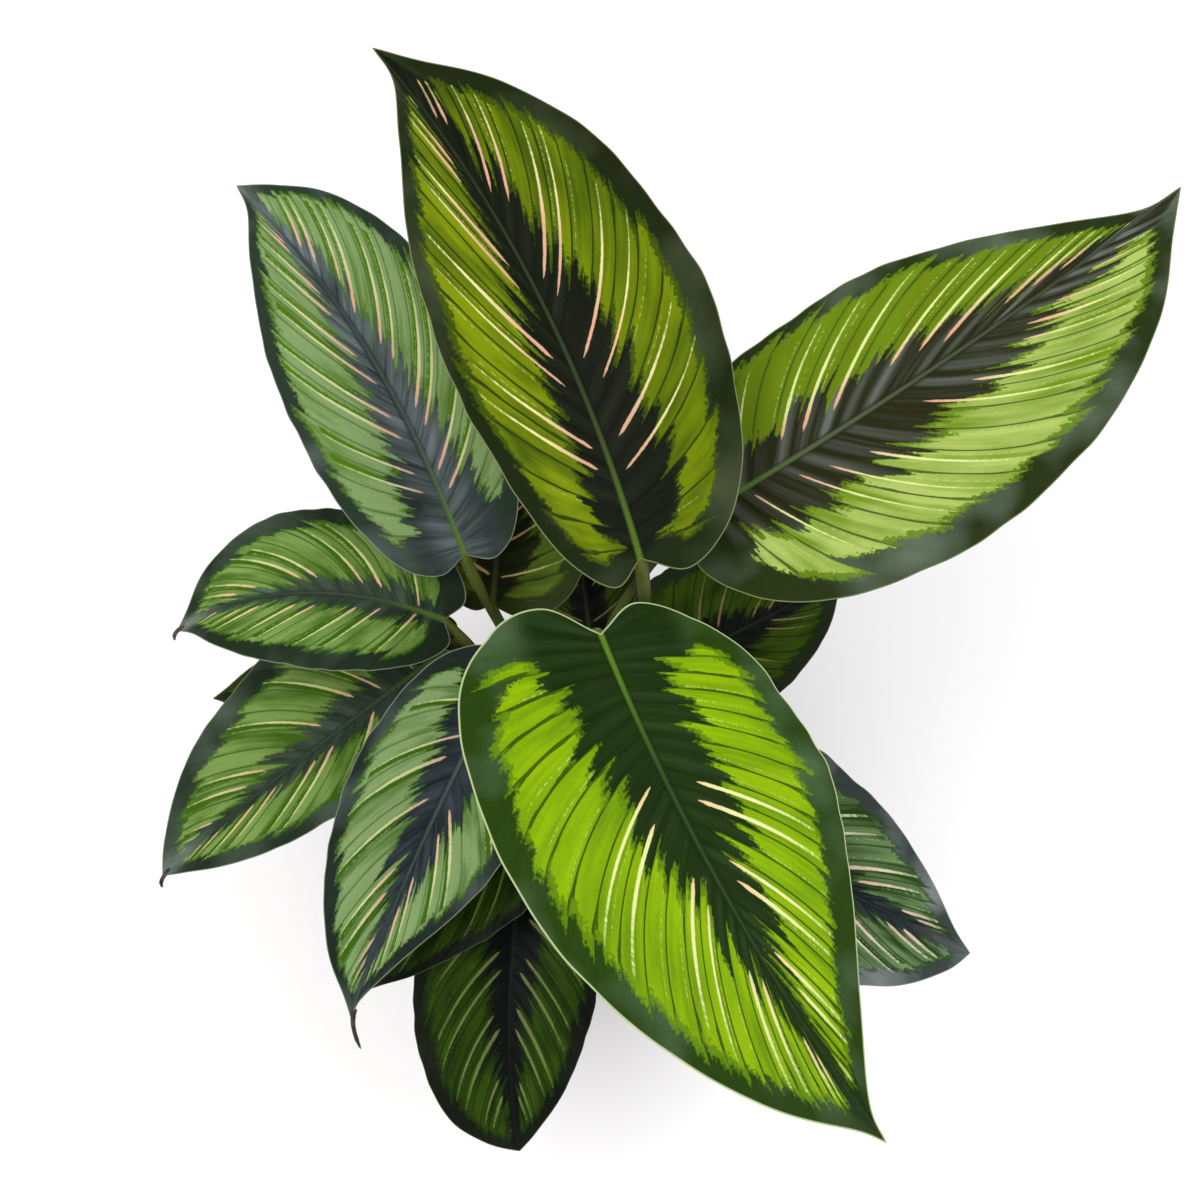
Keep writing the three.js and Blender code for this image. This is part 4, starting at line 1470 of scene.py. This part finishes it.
LEAVES = (
    LeafPlan(
        "leaf_back", (12, 24, 198), (-71, 180, 240), 47, 36, 8, 8, 1, 8, (1, 1.6), (0.04, 0.06),
        1.1, 1.4, 3.2, 0.1, 1, (6, 9), 1.1, (7, 9, 125), (18, 15, 165), LeafTone.OLIVE, 21,
    ),
    LeafPlan(
        "leaf_right_back", (30, 46, 180), (185, 146, 214), 56, 39, 4, 2, 2, 8, (0.92, 1.7),
        (0.02, 0.03), 1.2, 1.3, 3, 0.45, -1, (-4, 15), 1.05, (-6, 17, 115), (6, 35, 152),
        LeafTone.PALE, 22,
    ),
    LeafPlan(
        "leaf_front", (0, -3, 206), (82, -139, 158), 60, 52, 14, 10, -25, 4, (1.25, 1.65),
        (-0.08, -0.02), 1.5, 1.2, 2.8, 0.7, 1, (1, 0), 1.1, (1, 2, 125), (-5, 10, 178),
        LeafTone.BRIGHT, 30,
    ),
    LeafPlan(
        "leaf_left_back", (-44, 41, 162), (-124, 168, 186), 33, 34, 7, 9, -1, 8, (0.7, 1.25),
        (0.1, 0.02), 0.8, 1.2, 3, 0.2, 0, (-14, 9), 1, (-17, 8, 112), (-35, 24, 140),
        LeafTone.SAGE, 22,
    ),
    LeafPlan(
        "leaf_left", (-51, 23, 150), (-141, 23, 142), 29, 27, 7, 11, -2, 8, (1.06, 0.95),
        (0.06, 0.05), 1.2, 1.1, 2.6, 0.6, 2, (-17, 1), 0.9, (-20, 0, 112), (-36, 12, 140),
        LeafTone.MOSS, 16, (-1.5, -2.0, -3.0),
    ),
    LeafPlan(
        "leaf_left_front", (-53, 18, 132), (-146, -53, 112), 36, 26, -2, 9, 1, 8, (0.87, 0.9),
        (-0.04, 0), 1.2, 1.2, 2.8, 0.3, 2, (-22, -6), 0.9, (-24, -8, 102), (-43, 22, 119),
        LeafTone.MOSS, 17, (-0.5, -3.0, -3.0),
    ),
    LeafPlan(
        "leaf_left_low", (-51, 28, 117), (-137, 12, 103), 18, 19, -5, 6, 0, 8, (1.06, 1.06),
        (0, 0), 1.1, 0.8, 2.4, 0.8, 1, (-23, 8), 0.8, (-26, 9, 98), (-41, 23, 108),
        LeafTone.INNER, 14,
    ),
    LeafPlan(
        "leaf_front_left", (-30, 3, 156), (-82, -101, 110), 30, 29, 0, 8, 0, 8, (1.1, 1.8),
        (0.03, -0.05), 1.2, 1.1, 2.8, 0.05, 7, (-10, -6), 1, (-12, -7, 118), (-26, 9, 141),
        LeafTone.SLATE, 18, (2.0, -8.0, -9.0),
    ),
    LeafPlan(
        "leaf_front_left_low", (-8, -27, 124), (-80, -89, 97), 25, 23, 3, 7, 1, 8, (1, 0.95),
        (0, 0), 1, 0.9, 2.4, 0.5, 2, (-3, -11), 0.85, (-3, -11, 105), (-5, -19, 119),
        LeafTone.DEEP_SHADE, 13,
    ),
    LeafPlan(
        "leaf_front_low", (-24, -39, 105), (-27, -138, 70), 32, 30, 5, 9, -3, 9, (0.6, 0.85),
        (0.09, 0), 1, 1.1, 2.6, 0.15, 2, (-13, -15), 0.9, (-14, -17, 94), (-21, -31, 104),
        LeafTone.DEEP_SHADE, 18,
    ),
    LeafPlan(
        "leaf_right_front", (10, -26, 140), (120, -79, 116), 35, 37, 4, 9, -1, 8, (0.72, 1.15),
        (0, -0.02), 1.1, 1.2, 3, 0.9, 1, (9, -8), 1, (9, -9, 110), (6, -21, 131),
        LeafTone.DUSK, 18,
    ),
    LeafPlan(
        "leaf_back_low", (-37, 37, 128), (-38, 116, 148), 32, 20, 3, 6, -2, 8, (1, 1),
        (-0.03, 0), 0.8, 0.9, 2.5, 0.35, 1, (-10, 20), 0.85, (-12, 21, 102), (-33, 27, 114),
        LeafTone.INNER, 13,
    ),
    LeafPlan(
        "leaf_right", (18, 18, 113), (84, 49, 126), 28, 31, 3, 7, 2, 8, (0.97, 1.12),
        (-0.02, -0.06), 1, 1, 2.6, 0.75, 1, (13, 3), 0.9, (14, 4, 98), (14, 13, 107),
        LeafTone.SHADE, 13,
    ),
    LeafPlan(
        "leaf_back_inner", (-3, 30, 99), (-12, 104, 119), 20, 21, 0, 5, 0, 8, (1, 1), (0, 0),
        0.8, 0.8, 2.4, 0.4, 1, (0, 23), 0.8, (0, 23, 90), (-2, 26, 95), LeafTone.SHADE, 12,
    ),
)


# ---------------------------------------------------------------- pot and potting mix
@dataclass
class NurseryPot:
    """A plain tapered grower's pot with a rolled rim, a stacking step and drain holes."""

    height: float = 90
    rim_radius: float = 52.5
    mouth_radius: float = 50.5
    foot_radius: float = 37
    wall: float = 1.5
    floor: float = 2
    rim_height: float = 8
    step_height: float = 16
    step_depth: float = 1.2
    drains: int = 6
    drain_radius: float = 4
    drain_circle: float = 25
    grip_height: float = 74.5  # height of the middle of the grip ribs
    grip_sunk: float = 0.1  # how far inside the wall their axes lie
    crease: float = 38  # angle in degrees from which an edge is sharp
    sides: int = 144

    def wall_radius(self, z: float) -> float:
        """Measures the wall under the rim.

        Args:
            z: A height.

        Returns:
            The wall's outside radius there.
        """
        share = z / (self.height - self.rim_height)
        step = self.step_depth if z < self.step_height else 0
        return self.foot_radius + (self.mouth_radius - self.foot_radius) * share - step

    def profile(self) -> list[tuple[float, float]]:
        """Draws the pot's section.

        Returns:
            Radius and height pairs, outward under the floor, up the outside and down inside.
        """
        under, out, wall = self.height - self.rim_height, self.wall_radius, self.wall
        inside, top, rim = out(under) - wall, self.height, self.rim_radius
        step, foot, low = self.step_height, out(0), self.floor
        return [
            (0, 0.6), (foot - 9, 0.6), (foot - 8.2, 0.45), (foot - 7.6, 0), (foot - 1.6, 0),
            (foot - 0.9, 0.15), (foot - 0.3, 0.6), (out(1.5), 1.5), (out(step - 0.8), step - 0.8),
            (out(step - 0.3) + 0.2, step - 0.2), (out(step + 1) - 0.3, step + 0.7),
            (out(step + 1.2), step + 1.4), (out(under) - 0.05, under - 0.5),
            (out(under) + 0.2, under - 0.05), (rim - 0.7, under), (rim - 0.2, under + 0.25),
            (rim, under + 0.8), (rim, top - 1.5), (rim - 0.2, top - 0.8), (rim - 0.6, top - 0.3),
            (rim - 1.2, top), (rim - 1.9, top), (inside + 0.5, top - 0.4), (inside + 0.1, top - 1),
            (inside, top - 1.8), (inside, under), (out(step + 1.2) - wall, step + 1.2),
            (out(step - 0.01) - wall, step - 0.6), (out(low) - wall - 1, low + 1),
            (out(low) - wall - 2.4, low), (0, low),
        ]

    def shell(self) -> bpy.types.Mesh:
        """Turns the pot's wall and bores its drains.

        Returns:
            The closed mesh of the pot.
        """
        pot = placed("pot_blank", turned_mesh("nursery_pot", self.profile(), self.sides))
        bores = bmesh.new()
        for k in range(self.drains):
            turn = 2 * math.pi * k / self.drains
            made = bmesh.ops.create_cone(
                bores, cap_ends=True, segments=32, radius1=self.drain_radius * MM,
                radius2=self.drain_radius * MM, depth=(self.floor + 4) * MM,
            )
            where = Vector((math.cos(turn), math.sin(turn), 0)) * self.drain_circle * MM
            bmesh.ops.translate(bores, verts=made["verts"], vec=where + Vector((0, 0, MM)))
        cutter = placed("drains", from_shape(bores, "drains"))
        bore = pot.modifiers.new("bore", "BOOLEAN")
        bore.operation, bore.object, bore.solver = "DIFFERENCE", cutter, "EXACT"
        bored = as_mesh(pot)
        bpy.data.objects.remove(cutter)
        bored.shade_smooth()
        bored.set_sharp_from_angle(angle=math.radians(self.crease))
        return bored

    def build(self) -> None:
        """Makes the pot and the grip ribs under its rim."""
        plastic = PotFinish().material()
        shell = self.shell()
        shell.materials.append(plastic)
        dress("nursery_pot", shell, "pot_plastic", "pot")
        slope = math.atan((self.mouth_radius - self.foot_radius) / (self.height - self.rim_height))
        radius = self.wall_radius(self.grip_height) - self.grip_sunk
        sizes = {"Radius": radius * MM, "Height": self.grip_height * MM, "Lean": slope}
        ribs = rib_tree().run(bpy.data.meshes.new("ribs_start"), plastic, sizes)
        dress("pot_grip_ribs", ribs, "pot_plastic")


@dataclass
class PottingMix:
    """The mix in the pot: an uneven bed with bark, peat crumbs and perlite on it."""

    pot: NurseryPot
    level: float = 82
    crown: float = 3
    clear: float = 0.35  # gap between the mix and the pot
    lump: float = 0.8  # height of the bed's lumps
    sides: int = 96

    def inside(self, z: float) -> float:
        """Radius of the mix at a height."""
        return self.pot.wall_radius(z) - self.pot.wall - self.clear

    def bed(self) -> bpy.types.Mesh:
        """Turns the plug of mix and roughens its surface.

        Returns:
            The closed mesh of the bed.
        """
        inside, level, step = self.inside, self.level, self.pot.step_height
        low, foot, top = self.pot.floor + self.clear, inside(self.pot.floor), inside(level) - 0.3
        profile = [
            (0, low), (foot - 2.4, low), (foot - 1, low + 1), (inside(step - 0.01), step - 0.6),
            (inside(step + 1.2), step + 1.2), (inside(level - 1), level - 1),
            *((top * k, level + self.crown * (1 - k * k)) for k in np.linspace(1, 0, 26)),
        ]
        mesh = turned_mesh("potting_mix", profile, self.sides)
        points = np.empty(len(mesh.vertices) * 3)
        mesh.vertices.foreach_get("co", points)
        points = points.reshape(-1, 3)
        x, y, z = points.T / MM
        lumps = (
            np.sin(x * 0.61 + 1.3 * np.sin(y * 0.37)) * np.sin(y * 0.53 + 0.9 * np.sin(x * 0.29))
            + 0.5 * np.sin(x * 1.7 + 2.1) * np.sin(y * 1.9 + 0.4)
        )
        free = kept((top - np.hypot(x, y)) / 4) * (z > level - 0.5)
        points[:, 2] += lumps * free * self.lump * MM
        mesh.vertices.foreach_set("co", points.ravel())
        mesh.shade_smooth()
        return mesh

    def surface(self) -> bpy.types.Mesh:
        """Cuts out the disc that crumbs are strewn over.

        Returns:
            The bed's upper face.
        """
        shape = bmesh.new()
        shape.from_mesh(self.bed())
        lowest = (self.level - 0.5) * MM
        spare = [f for f in shape.faces if f.normal.z < 0.5 or f.calc_center_median().z < lowest]
        bmesh.ops.delete(shape, geom=spare, context="FACES")
        return from_shape(shape, "mix_surface")

    def build(self) -> None:
        """Makes the bed and strews the crumbs."""
        peat = GrainFinish("mix_peat", (28, 20, 14), (66, 48, 34), 500)
        bark = GrainFinish("mix_bark", (60, 38, 24), (112, 78, 50), 300, 0.0004)
        perlite = GrainFinish("mix_perlite", (196, 192, 184), (236, 234, 228), 700, 0.0003)
        bed = self.bed()
        bed.materials.append(peat.material())
        dress("potting_mix_bed", bed, "soil", "soil")
        strew = crumb_tree()
        for name, grain, density, small, large, others in (
            ("mix_peat_crumbs", peat, 130000.0, 0.0007, 0.0017, {"Seed": 3}),
            ("mix_bark_chips", bark, 26000.0, 0.0016, 0.0036,
             {"Flat": 0.32, "Dent": 0.0012, "Seed": 8}),
            ("mix_perlite_grains", perlite, 11000.0, 0.0008, 0.0017, {"Flat": 0.8, "Seed": 15}),
        ):
            sizes = {"Density": density, "Small": small, "Large": large, **others}
            dress(name, strew.run(self.surface(), grain.material(), sizes), "soil")


# ---------------------------------------------------------------- studio
@dataclass
class Studio:
    """The pale floor, the soft light and the camera that looks down from the front."""

    target: Triple = (0.0, 0.010, 0.200)
    distance: float = 0.456
    elevation: float = 68.0
    lens: float = 46.5
    pale: Tone = (250, 250, 250)
    drop: float = 0.0002  # how far the floor lies under the pot's foot
    sky: float = 0.72  # strength of the surrounding light

    def camera(self) -> None:
        """Sets the camera at the photograph's angle."""
        tilt = math.radians(self.elevation)
        data = bpy.data.cameras.new("camera")
        data.lens, data.sensor_width, data.clip_start = self.lens, 36.0, 0.01
        camera = placed("camera", data)
        away = Vector((0, -math.cos(tilt), math.sin(tilt))) * self.distance
        camera.location = Vector(self.target) + away
        camera.rotation_euler = (math.radians(90 - self.elevation), 0, 0)
        bpy.context.scene.camera = camera

    def floor(self) -> None:
        """Lays the pale floor under the pot."""
        shape = bmesh.new()
        bmesh.ops.create_grid(shape, x_segments=2, y_segments=2, size=4.0)
        floor = placed("floor", from_shape(shape, "floor"))
        floor.data.materials.append(Wiring("floor_pale").finish(self.pale, 0.9, {SHINE: 0.1}))
        floor.location.z = -self.drop

    def lamp(self, name: str, place: Triple, size: float, power: float, tone: Triple) -> None:
        """Hangs one soft square lamp that points at the plant.

        Args:
            name: The lamp's name.
            place: Where it hangs, in metres.
            size: The side of its square.
            power: Its power in watts.
            tone: Its colour.
        """
        data = bpy.data.lights.new(name, "AREA")
        data.shape, data.size, data.energy, data.color = "SQUARE", size, power, tone
        lamp = placed(name, data)
        lamp.location = place
        aim = Vector(self.target) - Vector(place)
        lamp.rotation_euler = aim.to_track_quat("-Z", "Y").to_euler()

    def build(self) -> None:
        """Sets up the camera, floor, lamps and surrounding light."""
        self.camera()
        self.floor()
        self.lamp("key", (-0.7, -0.5, 1.5), 1.2, 14.0, (1.0, 0.99, 0.97))
        self.lamp("fill", (1.1, -0.2, 1.2), 1.2, 7.0, (0.97, 0.98, 1.0))
        self.lamp("back", (0.2, 1.3, 1.1), 0.8, 5.0, (0.95, 0.98, 1.0))
        world = bpy.data.worlds.new("studio")
        world.use_nodes = True
        sky = world.node_tree.nodes["Background"]
        sky.inputs["Color"].default_value = (1.0, 1.0, 1.0, 1.0)
        sky.inputs["Strength"].default_value = self.sky
        bpy.context.scene.world = world
        bpy.context.scene.view_settings.view_transform = "Standard"


def main() -> None:
    """Builds the studio and the plant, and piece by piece."""
    Studio().build()
    pot = NurseryPot()
    pot.build()
    PottingMix(pot).build()
    stalks = tube_tree()
    under, bark = UnderFinish().material(), StalkFinish().material()
    point = GrainFinish("withered_point", (44, 34, 38), (84, 70, 70), 300, 0.0002).material()
    for plan in LEAVES:
        Leaf(plan).build(stalks, under, bark, point)
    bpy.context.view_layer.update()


if __name__ == "__main__":
    main()
